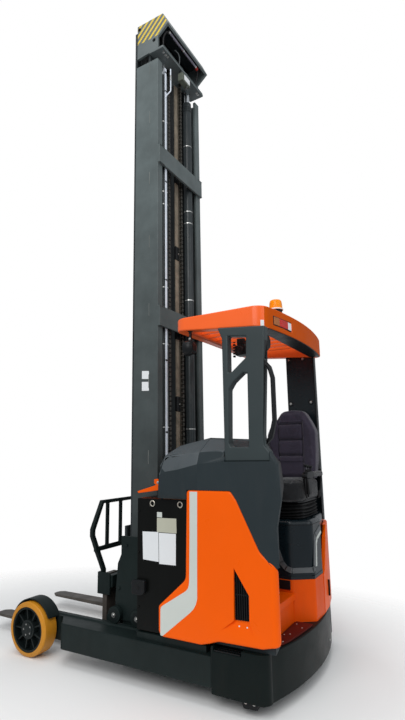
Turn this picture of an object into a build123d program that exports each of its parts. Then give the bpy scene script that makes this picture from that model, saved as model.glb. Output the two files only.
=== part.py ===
# Reach truck with a three-stage mast, a moving mast carriage and a sideways driving seat.
# Millimetres. +X points to the fork tips, +Y to the left-hand side, +Z up.
# The origin is on the floor, midway between the fork tips and the rear of the truck.
import os
from math import cos, radians, sin

from build123d import *

os.makedirs("parts", exist_ok=True)

# Clearances
RUN = 6.0          # between mast stages and other moving pieces
SEAT = 0.3         # between soft or curved pieces and what carries them
PIN = 0.3          # around shafts and pins
ROLL = 0.5         # between a roller and the track it runs on
THROUGH = 1.0      # how far a cut runs past a face
SMALL_SIDES = 24   # sides of hidden rollers and pulleys
HOLE_SIDES = 12    # sides of small holes

# Load wheels
WHEEL_X = 600.0
WHEEL_R = 177.5
WHEEL_WIDTH = 118.0
WHEEL_OUT_Y = 644.0
TYRE_DEPTH = 31.0
HUB_R = 62.0
HUB_RIM = 14.0
HUB_RECESS = 48.0
HUB_INSET = 3.0
AXLE_R = 27.0
SPOKES = 9
SPOKE_THICK = 9.0

# Straddle legs
LEG_OUT_Y = 628.0
LEG_IN_Y = 470.0
LEG_BOTTOM = 100.0
LEG_TOP = 270.0
LEG_REAR_X = -865.0
LEG_WELD_X = 280.0
NECK_OUT_Y = 516.0
NECK_FRONT = 75.0
NECK_STEP = 38.0
TRACK_GAP = 5.0
TRACK_WIDTH = 40.0
TRACK_HEIGHT = 8.0
FENDER_GAP = 12.0
FENDER_WALL = 6.0
FENDER_IN_Y = 504.0
FENDER_OUT_Y = 612.0

# Rear skirt and chassis bed
SKIRT_REAR_X = -1293.0
SKIRT_CORNER_X = -1182.0
SKIRT_BEND = 45.0
SKIRT_TURN = 18.0
SKIRT_CUT = 70.0
SKIRT_SAG = 16.0
SKIRT_BOTTOM = 72.0
SKIRT_TOP = 318.0
SKIRT_WALL = 14.0
STEP_REAR_X = -1050.0
STEP_LENGTH = 170.0
STEP_IN_Y = 540.0
STEP_DEPTH = 26.0
BED_TOP = 300.0
BED_HALF = 600.0
BULKHEAD = 12.0
BULKHEAD_GAP = 8.0
RUNNER_HALF = 40.0
RUNNERS_Y = (-400.0, 0.0, 400.0)

# Battery
BATTERY_FRONT_X = -320.0
BATTERY_REAR_X = -745.0
BATTERY_HALF = 591.0
BATTERY_BOTTOM = 308.0
BATTERY_TOP = 1092.0
LIFT_HOLE_R = 17.0
LIFT_HOLE_DEPTH = 12.0
LIFT_HOLE_DROP = 29.0
LIFT_HOLES_X = (-438.0, -646.0)

# Drive unit
DRIVE_X = -1000.0
DRIVE_Y = -160.0
DRIVE_R = 171.5
DRIVE_WIDTH = 130.0
DRIVE_PLATE_Z = 424.0
DRIVE_PLATE = 16.0
DRIVE_PLATE_HALF = 190.0
DRIVE_PLATE_LEFT = 145.0
MOTOR_R = 100.0
MOTOR_HEIGHT = 344.0
GEAR_R = 125.0
GEAR_NECK_R = 60.0
GEAR_DISC = 34.0
GEAR_ARM = 62.0
GEAR_GAP = 8.0
DRIVE_AXLE_R = 22.0

# Mast
RAIL_FRONT_X = -73.0
RAIL_REAR_X = -295.0
OUTER_FACE_Y = 334.0
OUTER_TIP_Y = 268.0
MIDDLE_TIP_Y = 200.0
INNER_TIP_Y = 130.0
OUTER_TOP = 4620.0
MAST_BOTTOM = 104.0
WEB = 16.0
FLANGE = 24.0
STAGE_FLANGE = 20.0
MIDDLE_REAR_X = -205.0
STAGE_SHIFT = 30.0
HEAD_GAP = 80.0
HEAD_HEIGHT = 330.0
HEAD_REACH = 103.0
HEAD_SHELF = 22.0
HEAD_NOSE_DROP = 117.0
HEAD_NOSE = 10.0
HEAD_WAIST_DROP = 201.0
HEAD_FRONT_RISE = 17.0
HEAD_EYE_FRONT = (27.0, 39.0)
HEAD_EYE_REAR = (40.0, 219.0)
MIDDLE_DROP = 40.0
INNER_RISE = 10.0
INNER_TIE = (70.0, 4.0)
INNER_TIE_HEIGHT = 80.0
CROSS_THICK = 20.0
CROSS_HEIGHT = 156.0
CROSSES_Z = (3659.0, 2312.0)
TOP_CROSS = 130.0
LOW_CROSS = 180.0
LIFT_CYL_X = -250.0
LIFT_CYL_Y = 193.0
LIFT_CYL_R = 39.5
LIFT_ROD_R = 27.0
CHAIN_Y = 96.0
CHAIN_X = -230.0
CHAIN_WIDTH = 24.0
CHAIN_THICK = 18.0
PULLEY_R = 44.0
PULLEY_HALF = 15.0
PULLEY_PIN_R = 10.0
PULLEY_PLATE = 8.0
PULLEY_GAP = 3.0
PULLEY_RISE = 100.0
FREE_CYL_X = -98.0
FREE_CYL_R = 38.0
FREE_CYL_TOP = 2330.0
FREE_ROD_R = 24.0
YOKE_HALF = 74.0
YOKE_HEIGHT = 50.0
YOKE_GAP = 40.0
SHEAVE_R = 44.0

# Reach carriage
CARR_OUT_Y = 450.0
CARR_PLATE = 18.0
CARR_REAR_X = -300.0
CARR_FRONT_X = -26.0
CARR_BOTTOM = 285.0
CARR_TOP = 820.0
REACH_ROLLER_R = 52.0
REACH_ROLLERS_X = (-49.0, -240.0)
CARR_BOX = (200.0, 120.0)

# Fork carriage, side shifter and forks
CARRIAGE_PLATE_Y = 104.0
CARRIAGE_PLATE = 18.0
CARRIAGE_BAR = 22.0
CARRIAGE_HALF = 290.0
CARRIAGE_BARS_Z = (150.0, 470.0, 770.0)
CARRIAGE_BAR_HEIGHT = 90.0
CARRIAGE_LOW_ROLLER = 260.0
SHIFTER_BAR = 20.0
SHIFTER_HALF = 330.0
SHIFTER_BARS_Z = (180.0, 460.0)
PAD_Y = 200.0
TILT_GAP = 18.0
TILT_BAR = 49.0
TILT_HALF = 366.0
TILT_PIVOT_Z = 575.0
PIVOT_R = 15.0
EAR_Y = 206.0
EAR = 20.0
EAR_RISE = 25.0
EAR_ROOT = 55.0
LUG_DROP = 13.0
LUG_ROOT = 19.0
HOOK = 6.0
FORK_LENGTH = 1150.0
FORK_WIDTH = 120.0
FORK_THICK = 40.0
FORK_SHANK = 40.0
FORK_BOTTOM = 75.0
FORK_Y = 300.0
SHANK_TOP = 536.0
TIP_HALF = 22.0
TIP_LENGTH = 60.0
TIP_RISE = 30.0
TIP_NOSE = 20.0
TIP_ROUND = 4.0
HEEL = 25.0
HEEL_FILLET = 12.0
BARS_Z = (190.0, 450.0)
BAR_HEIGHT = 80.0
REST_BAR = 28.0
REST_SLAT = 14.0
REST_STEP = 4.0
REST_STRAP_Y = 340.0
REST_STRAP_Z = (400.0, 547.0)
RAIL_LOW_HALF = 430.0
RAIL_HIGH_HALF = 365.0
RAIL_LOW_Z = 690.0
RAIL_HIGH_Z = 1018.0

# Body panels and consoles
PANEL_OUT_Y = 628.0
PANEL_WALL = 24.0
PANEL_BACK_X = -1270.0
PANEL_RETURN_Y = 575.0
PANEL_R = 40.0
CONSOLE_IN_Y = 463.0
CONSOLE_REAR_X = -1316.0
HOOD_BOTTOM_GAP = 8.0
HOOD_FLAT_Y = 450.0
HOOD_EDGE_Y = 600.0
HOOD_REAR_X = -793.0

# Cab floor, pedestal and seat
FLOOR_TOP = 492.0
FLOOR_THICK = 12.0
FLOOR_LIP = 40.0
STEP_TOP = 330.0
MAT_IN = (77.0, 37.0, 16.0)
RISER_X = -1155.0
PEDESTAL_Y = 66.0
PEDESTAL_RIGHT_Y = -603.0
PEDESTAL_REAR_X = -1276.0
PEDESTAL_CUT_X = -1150.0
PEDESTAL_CUT_Y = -20.0
PEDESTAL_WALL = 12.0
CORNER_Y = -205.0
PEDESTAL_TOP = 567.0
COVER_TOP = 930.0
COVER_FRONT_X = -800.0
COVER_INSET = 5.0
COVER_RIGHT_Y = -500.0
MOTOR_GAP = 10.0
BELLOWS_X = (-1215.0, -905.0)
BELLOWS_Y = (-400.0, 0.0)
BELLOWS_FOLD = 12.0
PLEAT = 21.0
PLEATS = 5
SEAT_X = (-1245.0, -900.0)
SEAT_Y = (-430.0, 60.0)
SEAT_THICK = 150.0
SEAT_R = 60.0
BACK_X = (-1240.0, -949.0)
BACK_TOP = 1676.0
BACK_FRONT_Y = -300.0
BACK_DEPTH = 148.0
BACK_LEAN = 22.0
BACK_SHOULDER = 36.0
ARM_WIDTH = 38.0
ARM_RISE = 10.0
ARM_HEIGHT = 40.0
STICK_R = 16.0
STICK_HEIGHT = 54.0
STEERING_X = -1040.0
STEERING_Y = 360.0
COLUMN_R = 22.0
COLUMN_LOW = 1100.0
COLUMN_HEIGHT = 80.0
WHEEL_RIM_R = 85.0
WHEEL_RIM = 25.0

# Pillars, guard and lamps
GUARD_HALF = 600.0
GUARD_FRONT_X = -605.0
GUARD_REAR_X = -1307.0
GUARD_SIDE_X = -1175.0
GUARD_TURN_X = -1256.0
GUARD_TURN_IN = 75.0
GUARD_R = 90.0
GUARD_TOP = 2245.0
GUARD_FRONT_BAND = 79.0
GUARD_REAR_BAND = 140.0
GUARD_RIM = 70.0
GUARD_SLATS = 9
SLAT_PITCH = 110.0
SLAT_HALF = 10.0
SLAT_HEIGHT = 50.0
SLAT_DROP = 10.0
POST_IN = 40.0
POST_OUT = 20.0
PLATE_IN = 54.0
PLATE_X = (-1200.0, -962.0)
PLATE_LOW_X = -1172.0
BEACON_X = -1217.0
BEACON_Y = 300.0
BEACON_R = 42.0
BEACON_BASE_R = 48.0
BEACON_BASE = 34.0
BEACON_HEIGHT = 75.0
LAMP_X = (-755.0, -690.0)
LAMP_R = 52.0
LAMP_DROP = 62.0
STEM_R = 8.0
RECESS_Y = (236.0, 530.0)
RECESS_Z = (2138.0, 2194.0)
RECESS_DEPTH = 14.0

# Outlines of the mouldings. Each point is (x, z).
PANEL_OUTLINE = (
    (-714, 1155),
    (-1012, 1156),
    (-1048, 1107),
    (-1184, 833),
    (-1278, 741),
    (PANEL_BACK_X, 415),
    (-1262, 372),
    (-1175, 347),
    (-912, 342),
    (-854, 322),
    (-536, 322),
    (-508, 340),
    (-508, 476),
    (-701, 643),
)
VENT = ((-1021, 741), (-1110, 606), (-1108, 471), (-1012, 466))
SILL_WIDE = ((-1015, 467), (-1108, 467), (-1134, 405), (-930, 405))
SILL_NARROW = ((-1020, 468), (-1104, 468), (-1104, 465), (-1020, 465))
HOOD_SIDE = ((-504, 1180), (-508, 1242), (-650, 1274), (HOOD_REAR_X, 1307))
HOOD_EDGE = ((-518, 1290), (-539, 1356), (-655, 1366), (HOOD_REAR_X, 1376))
HOOD_MIDDLE = ((-397, 1291), (-447, 1363), (-559, 1421), (HOOD_REAR_X, 1468))
CONSOLE_SIDE = (
    (HOOD_REAR_X, 1307),
    (-990, 1352),
    (-1262, 1372),
    (-1306, 1302),
    (CONSOLE_REAR_X, 1117),
    (-1283, 959),
    (-1283, 760),
    (-1258, 745),
)
CONSOLE_EDGE = (
    (HOOD_REAR_X, 1376),
    (-986, 1391),
    (-1262, 1384),
    (-1306, 1312),
    (CONSOLE_REAR_X, 1117),
    (-1283, 959),
    (-1283, 760),
    (-1258, 745),
)
CONSOLE_INNER = (
    (HOOD_REAR_X, 1463),
    (-1067, 1446),
    (-1201, 1384),
    (-1266, 1308),
    (-1278, 1184),
    (-1232, 987),
    (-1232, 760),
    (-1215, 745),
)

# Plan of the right rear corner's skin, from its side to its rear edge, and its outline as (y, z).
CORNER_PLAN = ((-1140, -628), (-1196, -604), (-1222, -545), (-1262, -350), (-1276, -205))
CORNER_WALL = (14, 6, 3, 0)
CORNER_OUTLINE = (
    (-629, SKIRT_TOP),
    (-205, SKIRT_TOP),
    (-222, 548),
    (-262, 578),
    (-345, 780),
    (-420, 848),
    (-629, 858),
)
CHEEK = (
    (CARR_FRONT_X, 400),
    (CARR_FRONT_X - 18, 640),
    (RAIL_FRONT_X, 700),
    (RAIL_FRONT_X, CARR_TOP),
    (-208, CARR_TOP),
    (CARR_REAR_X, 690),
)
POST_FRONT = ((-976, 1410), (-976, 2060))
POST_REAR = ((-1256, 2021), (-1226, 1470), (-1232, 1410))
WINDOW_LOW = (
    (-1008, 1428),
    (-1020, 1405),
    (-1133, 1403),
    (-1139, 1832),
    (-1113, 1838),
    (-1045, 1784),
    (-1017, 1743),
)
WINDOW_HIGH = ((-1014, 1848), (-1034, 1846), (-1133, 1927), (-1138, 2056), (-1017, 2072))
HANDLE_OUTER = ((-1238, 1912), (-1281, 1860), (-1299, 1794), (-1299, 1549), (-1275, 1452), (-1226, 1400))
HANDLE_INNER = ((-1226, 1432), (-1255, 1462), (-1277, 1553), (-1277, 1790), (-1262, 1848), (-1238, 1880))

# Side bars of the load backrest. Each point is (distance from the centre plane, z).
REST_OUTLINE = (
    (316, 394),
    (346, 394),
    (346, 547),
    (470, 800),
    (470, 850),
    (372, 1042),
    (340, 1042),
    (438, 840),
    (438, 806),
    (316, 557),
)


def write(part, name):
    part.label = name
    export_step(part, f"parts/{name}.step")


def side_name(sign):
    return "left" if sign > 0 else "right"


def span(sign, near, far):
    # Low and high Y of a strip between two distances from the centre plane.
    return min(sign * near, sign * far), max(sign * near, sign * far)


def prism(plane, points, length, mode):
    with BuildSketch(plane) as outline:
        Polygon(*points, align=None)
    extrude(outline.sketch, amount=length, dir=plane.z_dir, mode=mode)


def across(points, low, high, mode=Mode.ADD):
    # Outline in X and Z, from Y low to Y high.
    prism(Plane.XZ.offset(-high), points, high - low, mode)


def along(points, low, high, mode=Mode.ADD):
    # Outline in Y and Z, from X low to X high.
    prism(Plane.YZ.offset(low), points, high - low, mode)


def upward(points, low, high, mode=Mode.ADD):
    # Outline in X and Y, from Z low to Z high.
    prism(Plane.XY.offset(low), points, high - low, mode)


def block(x, y, z, mode=Mode.ADD):
    # Box between (low, high) pairs.
    upward([(x[0], y[0]), (x[1], y[0]), (x[1], y[1]), (x[0], y[1])], z[0], z[1], mode)


def taper_across(first, first_y, second, second_y, mode=Mode.ADD):
    # Straight-sided body between two outlines in X and Z.
    with BuildSketch(Plane.XZ.offset(-first_y)) as first_outline:
        Polygon(*first, align=None)
    with BuildSketch(Plane.XZ.offset(-second_y)) as second_outline:
        Polygon(*second, align=None)
    loft([first_outline.sketch, second_outline.sketch], ruled=True, mode=mode)


def round_sketch(radius, sides):
    if sides:
        RegularPolygon(radius, sides)
    else:
        Circle(radius)


def disc_across(centre, radius, low, high, mode=Mode.ADD, sides=0):
    # Cylinder along Y, its centre given as (x, z).
    with BuildSketch(Plane.XZ.offset(-high)) as outline:
        with Locations(centre):
            round_sketch(radius, sides)
    extrude(outline.sketch, amount=high - low, dir=(0, -1, 0), mode=mode)


def disc_up(centre, radius, low, high, mode=Mode.ADD, sides=0):
    # Cylinder along Z, its centre given as (x, y).
    with BuildSketch(Plane.XY.offset(low)) as outline:
        with Locations(centre):
            round_sketch(radius, sides)
    extrude(outline.sketch, amount=high - low, dir=(0, 0, 1), mode=mode)


# Straddle legs, each with its wheel neck, axle stub, fender and roller track
leg_deck = LEG_TOP - TRACK_HEIGHT
fender_r = WHEEL_R + FENDER_GAP
track_in_y = CARR_OUT_Y + TRACK_GAP
axle_end_y = WHEEL_OUT_Y - HUB_RIM
neck_front_x = WHEEL_X + NECK_FRONT
for sign in (1, -1):
    with BuildPart() as leg:
        block((LEG_REAR_X, LEG_WELD_X), span(sign, LEG_IN_Y, LEG_OUT_Y), (LEG_BOTTOM, leg_deck))
        neck = [
            (LEG_WELD_X, sign * LEG_IN_Y),
            (LEG_WELD_X, sign * LEG_OUT_Y),
            (LEG_WELD_X + HUB_RIM, sign * (LEG_OUT_Y - HUB_RIM)),
            (WHEEL_X - WHEEL_R - NECK_STEP, sign * NECK_OUT_Y),
            (neck_front_x, sign * NECK_OUT_Y),
            (neck_front_x, sign * LEG_IN_Y),
        ]
        upward(neck, LEG_BOTTOM, leg_deck)
        disc_across((WHEEL_X, WHEEL_R), AXLE_R, *span(sign, NECK_OUT_Y, axle_end_y))
        # Fender: a ring above the leg's top, closed on its inner side
        for hollow_r, far in ((fender_r, FENDER_OUT_Y), (0, NECK_OUT_Y)):
            arch_low, arch_high = span(sign, FENDER_IN_Y, far)
            with BuildSketch(Plane.XZ.offset(-arch_high)) as arch:
                with Locations((WHEEL_X, WHEEL_R)):
                    Circle(fender_r + FENDER_WALL)
                    if hollow_r:
                        Circle(hollow_r, mode=Mode.SUBTRACT)
                with Locations((WHEEL_X, 0)):
                    Rectangle(3 * WHEEL_R, 2 * leg_deck, mode=Mode.SUBTRACT)
            extrude(arch.sketch, amount=arch_high - arch_low, dir=(0, -1, 0))
        track_y = span(sign, track_in_y, track_in_y + TRACK_WIDTH)
        block((BATTERY_FRONT_X + BULKHEAD_GAP, WHEEL_X - AXLE_R), track_y, (leg_deck, LEG_TOP))
    write(leg.part, f"leg_{side_name(sign)}")

# Load wheels: a hub with radial ribs in a bonded tyre
hub_rim_r = WHEEL_R - TYRE_DEPTH - SEAT
hub_inner_r = hub_rim_r - HUB_RIM
wheel_in_y = WHEEL_OUT_Y - WHEEL_WIDTH
recess_y = WHEEL_OUT_Y - HUB_RECESS
wheel_centre = (WHEEL_X, WHEEL_R)
for sign in (1, -1):
    with BuildPart() as tyre:
        disc_across(wheel_centre, WHEEL_R, *span(sign, wheel_in_y, WHEEL_OUT_Y))
        disc_across(wheel_centre, WHEEL_R - TYRE_DEPTH, *span(sign, wheel_in_y, WHEEL_OUT_Y), Mode.SUBTRACT)
    write(tyre.part, f"load_tyre_{side_name(sign)}")
    with BuildPart() as hub:
        disc_across(wheel_centre, hub_rim_r, *span(sign, wheel_in_y + HUB_INSET, WHEEL_OUT_Y - HUB_INSET))
        disc_across(wheel_centre, hub_inner_r, *span(sign, recess_y, WHEEL_OUT_Y), Mode.SUBTRACT)
        disc_across(wheel_centre, HUB_R, *span(sign, recess_y, WHEEL_OUT_Y - RUN), sides=SMALL_SIDES)
        for number in range(SPOKES):
            angle = 360 * number / SPOKES
            rib_plane = Plane(
                origin=(WHEEL_X, sign * recess_y, WHEEL_R),
                x_dir=(cos(radians(angle)), 0, sin(radians(angle))),
                z_dir=(0, sign, 0),
            )
            with BuildSketch(rib_plane) as rib:
                with Locations(((HUB_R + hub_inner_r) / 2, 0)):
                    Rectangle(hub_inner_r - HUB_R + HUB_RIM, SPOKE_THICK)
            extrude(rib.sketch, amount=HUB_RECESS - HUB_RIM, dir=(0, sign, 0))
        disc_across(wheel_centre, AXLE_R + PIN, *span(sign, wheel_in_y, axle_end_y + PIN), Mode.SUBTRACT)
    write(hub.part, f"load_hub_{side_name(sign)}")


# Rear skirt: a shell with rounded corners, a shallow arc at the back and a step in its left edge
def skirt_outline(inset):
    half = LEG_OUT_Y - inset
    side_x = SKIRT_CORNER_X + SKIRT_BEND
    back_x = SKIRT_CORNER_X - SKIRT_TURN + inset
    back_y = LEG_OUT_Y - SKIRT_CUT
    corner_x = SKIRT_CORNER_X + inset * cos(radians(45))
    corner_y = LEG_OUT_Y - SKIRT_SAG - inset * sin(radians(45))
    with BuildLine() as edge:
        Line((LEG_REAR_X, half), (side_x, half))
        ThreePointArc((side_x, half), (corner_x, corner_y), (back_x, back_y))
        ThreePointArc((back_x, back_y), (SKIRT_REAR_X + inset, 0), (back_x, -back_y))
        ThreePointArc((back_x, -back_y), (corner_x, -corner_y), (side_x, -half))
        Line((side_x, -half), (LEG_REAR_X, -half))
        Line((LEG_REAR_X, -half), (LEG_REAR_X, half))
    return make_face(edge.edges())


step_x = (STEP_REAR_X, STEP_REAR_X + STEP_LENGTH)
step_floor = SKIRT_TOP - STEP_DEPTH
with BuildPart() as skirt:
    with BuildSketch(Plane.XY.offset(SKIRT_BOTTOM)) as ring:
        skirt_outline(0)
    extrude(ring.sketch, amount=SKIRT_TOP - SKIRT_BOTTOM)
    with BuildSketch(Plane.XY.offset(SKIRT_BOTTOM)) as hollow:
        skirt_outline(SKIRT_WALL)
    extrude(hollow.sketch, amount=SKIRT_TOP - SKIRT_BOTTOM - SKIRT_WALL, mode=Mode.SUBTRACT)
    drive_gap = (SKIRT_TOP - 2 * SKIRT_WALL, SKIRT_TOP + THROUGH)
    disc_up((DRIVE_X, DRIVE_Y), DRIVE_R + AXLE_R, *drive_gap, Mode.SUBTRACT)
    pan_x = (step_x[0] - SKIRT_WALL, step_x[1] + SKIRT_WALL)
    pan_y = (STEP_IN_Y - SKIRT_WALL, LEG_OUT_Y - SKIRT_WALL)
    block(pan_x, pan_y, (step_floor - SKIRT_WALL, SKIRT_TOP - SKIRT_WALL))
    block(step_x, (STEP_IN_Y, LEG_OUT_Y + THROUGH), (step_floor, SKIRT_TOP + THROUGH), Mode.SUBTRACT)
write(skirt.part, "rear_skirt")

# Chassis bed, the bulkhead behind the battery and the plate that carries the drive unit
bulkhead_x = BATTERY_REAR_X - BULKHEAD_GAP
bulkhead_rear_x = bulkhead_x - BULKHEAD
plate_top = DRIVE_PLATE_Z + DRIVE_PLATE
plate_rear_x = DRIVE_X - DRIVE_PLATE_HALF
plate_y = (DRIVE_Y - DRIVE_PLATE_HALF, DRIVE_Y + DRIVE_PLATE_LEFT)
hood_bottom = BATTERY_TOP + HOOD_BOTTOM_GAP
bed_front_x = BATTERY_FRONT_X - BULKHEAD_GAP
with BuildPart() as chassis:
    block((LEG_REAR_X + SKIRT_BEND, bed_front_x), (-BED_HALF, BED_HALF), (leg_deck, BED_TOP))
    block((bulkhead_rear_x, bulkhead_x), (-BATTERY_HALF, BATTERY_HALF), (BED_TOP, hood_bottom))
    for sign in (1, -1):
        tail_y = span(sign, LEG_IN_Y + 2 * RUN, STEP_IN_Y - SKIRT_WALL)
        block((plate_rear_x, LEG_REAR_X), tail_y, (LEG_BOTTOM, SKIRT_TOP - SKIRT_WALL))
        block((LEG_REAR_X, LEG_REAR_X + SKIRT_BEND), tail_y, (leg_deck, BED_TOP))
    block((plate_rear_x, bulkhead_rear_x), plate_y, (DRIVE_PLATE_Z, plate_top))
    block((plate_rear_x - BULKHEAD, plate_rear_x), plate_y, (SKIRT_TOP, plate_top))
    plate_hole = (DRIVE_PLATE_Z - THROUGH, plate_top + THROUGH)
    disc_up((DRIVE_X, DRIVE_Y), GEAR_NECK_R + PIN, *plate_hole, Mode.SUBTRACT)
    for runner_y in RUNNERS_Y:
        runner_x = (BATTERY_REAR_X + BULKHEAD, bed_front_x)
        block(runner_x, (runner_y - RUNNER_HALF, runner_y + RUNNER_HALF), (BED_TOP, BATTERY_BOTTOM))
write(chassis.part, "chassis_frame")

# Battery in its steel tray, with lifting holes in its long sides
with BuildPart() as battery:
    block((BATTERY_REAR_X, BATTERY_FRONT_X), (-BATTERY_HALF, BATTERY_HALF), (BATTERY_BOTTOM, BATTERY_TOP))
    for sign in (1, -1):
        hole_y = span(sign, BATTERY_HALF - LIFT_HOLE_DEPTH, BATTERY_HALF + THROUGH)
        for hole_x in LIFT_HOLES_X:
            hole = (hole_x, BATTERY_TOP - LIFT_HOLE_DROP)
            disc_across(hole, LIFT_HOLE_R, *hole_y, Mode.SUBTRACT, HOLE_SIDES)
write(battery.part, "battery")

# Drive unit: motor on the plate, turning gearbox below, and the drive wheel
drive_axis = (DRIVE_X, DRIVE_Y)
drive_wheel_y = (DRIVE_Y - DRIVE_WIDTH / 2, DRIVE_Y + DRIVE_WIDTH / 2)
arm_in_y = drive_wheel_y[1] + GEAR_GAP
arm_y = (arm_in_y, arm_in_y + GEAR_ARM)
gear_low = DRIVE_PLATE_Z - GEAR_DISC
with BuildPart() as motor:
    disc_up(drive_axis, MOTOR_R, plate_top, plate_top + MOTOR_HEIGHT, sides=SMALL_SIDES)
write(motor.part, "drive_motor")
with BuildPart() as gearbox:
    disc_up(drive_axis, GEAR_R, gear_low, DRIVE_PLATE_Z - SEAT, sides=SMALL_SIDES)
    disc_up(drive_axis, GEAR_NECK_R, DRIVE_PLATE_Z - SEAT, plate_top - SEAT)
    gear_x = (DRIVE_X - GEAR_NECK_R - RUN, DRIVE_X + GEAR_NECK_R + RUN)
    block(gear_x, (DRIVE_Y - GEAR_NECK_R, arm_y[1]), (gear_low - DRIVE_AXLE_R, gear_low))
    block(gear_x, arm_y, (DRIVE_R / 2, gear_low))
    disc_across((DRIVE_X, DRIVE_R), DRIVE_AXLE_R, DRIVE_Y - DRIVE_AXLE_R, arm_y[0] + RUN)
write(gearbox.part, "drive_gearbox")
with BuildPart() as drive_wheel:
    disc_across((DRIVE_X, DRIVE_R), DRIVE_R, *drive_wheel_y)
    bore_y = (DRIVE_Y - DRIVE_AXLE_R - RUN, drive_wheel_y[1])
    disc_across((DRIVE_X, DRIVE_R), DRIVE_AXLE_R + PIN, *bore_y, Mode.SUBTRACT)
write(drive_wheel.part, "drive_wheel")

# Outer mast: two channels, cross members behind them and the lift cylinders
middle_front_x = RAIL_FRONT_X + STAGE_SHIFT
inner_front_x = middle_front_x + STAGE_SHIFT
inner_rear_x = MIDDLE_REAR_X + STAGE_SHIFT
middle_web = OUTER_TIP_Y - RUN
middle_out = OUTER_FACE_Y - WEB - RUN
inner_web = MIDDLE_TIP_Y - RUN
inner_out = middle_web - WEB - RUN
outer_gap_r = (RAIL_FRONT_X - RAIL_REAR_X) / 2 - FLANGE - ROLL
stage_gap_r = (middle_front_x - MIDDLE_REAR_X) / 2 - STAGE_FLANGE - ROLL
outer_centre_x = (RAIL_FRONT_X + RAIL_REAR_X) / 2
middle_centre_x = (middle_front_x + MIDDLE_REAR_X) / 2
inner_centre_x = (inner_front_x + inner_rear_x) / 2
roller_drop = stage_gap_r + RUN
stage_bottom = MAST_BOTTOM + RUN
low_tie_top = stage_bottom + 2.5 * roller_drop
head_bottom = OUTER_TOP + HEAD_GAP
head_top = head_bottom + HEAD_HEIGHT
middle_top = head_top - MIDDLE_DROP
inner_top = middle_top + INNER_RISE
lift_cyl_top = OUTER_TOP - roller_drop
with BuildPart() as outer_mast:
    for sign in (1, -1):
        channel = [
            (RAIL_REAR_X, sign * OUTER_FACE_Y),
            (RAIL_REAR_X, sign * OUTER_TIP_Y),
            (RAIL_REAR_X + FLANGE, sign * OUTER_TIP_Y),
            (RAIL_REAR_X + FLANGE, sign * (OUTER_FACE_Y - WEB)),
            (RAIL_FRONT_X - FLANGE, sign * (OUTER_FACE_Y - WEB)),
            (RAIL_FRONT_X - FLANGE, sign * OUTER_TIP_Y),
            (RAIL_FRONT_X, sign * OUTER_TIP_Y),
            (RAIL_FRONT_X, sign * OUTER_FACE_Y),
        ]
        upward(channel, MAST_BOTTOM, OUTER_TOP)
        roller_y = span(sign, OUTER_TIP_Y, OUTER_FACE_Y - WEB + THROUGH)
        roller = (middle_centre_x, OUTER_TOP - roller_drop)
        disc_across(roller, stage_gap_r, *roller_y, sides=SMALL_SIDES)
    crosses = [(low, low + CROSS_HEIGHT) for low in CROSSES_Z]
    crosses.append((OUTER_TOP - TOP_CROSS - RUN, OUTER_TOP - RUN))
    crosses.append((MAST_BOTTOM, MAST_BOTTOM + LOW_CROSS))
    for cross_z in crosses:
        block((RAIL_REAR_X - CROSS_THICK, RAIL_REAR_X), (-OUTER_FACE_Y, OUTER_FACE_Y), cross_z)
write(outer_mast.part, "outer_mast")

with BuildPart() as lift_cylinders:
    for sign in (1, -1):
        disc_up((LIFT_CYL_X, sign * LIFT_CYL_Y), LIFT_CYL_R, stage_bottom, lift_cyl_top)
        bore = (stage_bottom + LIFT_ROD_R, lift_cyl_top + THROUGH)
        disc_up((LIFT_CYL_X, sign * LIFT_CYL_Y), LIFT_ROD_R + PIN, *bore, Mode.SUBTRACT)
write(lift_cylinders.part, "lift_cylinders")
with BuildPart() as lift_rods:
    for sign in (1, -1):
        disc_up((LIFT_CYL_X, sign * LIFT_CYL_Y), LIFT_ROD_R, stage_bottom + LIFT_CYL_R, head_bottom)
write(lift_rods.part, "lift_rods")


# Middle mast: two I sections, their rollers and a low tie
def i_section(sign, rear, front, out_y, web_y, in_y):
    return [
        (rear, sign * out_y),
        (rear, sign * in_y),
        (rear + STAGE_FLANGE, sign * in_y),
        (rear + STAGE_FLANGE, sign * (web_y - WEB)),
        (front - STAGE_FLANGE, sign * (web_y - WEB)),
        (front - STAGE_FLANGE, sign * in_y),
        (front, sign * in_y),
        (front, sign * out_y),
        (front - STAGE_FLANGE, sign * out_y),
        (front - STAGE_FLANGE, sign * web_y),
        (rear + STAGE_FLANGE, sign * web_y),
        (rear + STAGE_FLANGE, sign * out_y),
    ]


with BuildPart() as middle_mast:
    for sign in (1, -1):
        rail = i_section(sign, MIDDLE_REAR_X, middle_front_x, middle_out, middle_web, MIDDLE_TIP_Y)
        upward(rail, stage_bottom, middle_top)
        low_y = span(sign, middle_web - THROUGH, middle_out)
        low_roller = (outer_centre_x, stage_bottom + outer_gap_r + RUN)
        disc_across(low_roller, outer_gap_r, *low_y, sides=SMALL_SIDES)
        high_y = span(sign, MIDDLE_TIP_Y, middle_web - WEB + THROUGH)
        high_roller = (inner_centre_x, middle_top - roller_drop)
        disc_across(high_roller, stage_gap_r, *high_y, sides=SMALL_SIDES)
    tie_x = (MIDDLE_REAR_X, MIDDLE_REAR_X + STAGE_FLANGE)
    block(tie_x, (-MIDDLE_TIP_Y, MIDDLE_TIP_Y), (stage_bottom + roller_drop, low_tie_top))
write(middle_mast.part, "middle_mast")

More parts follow.
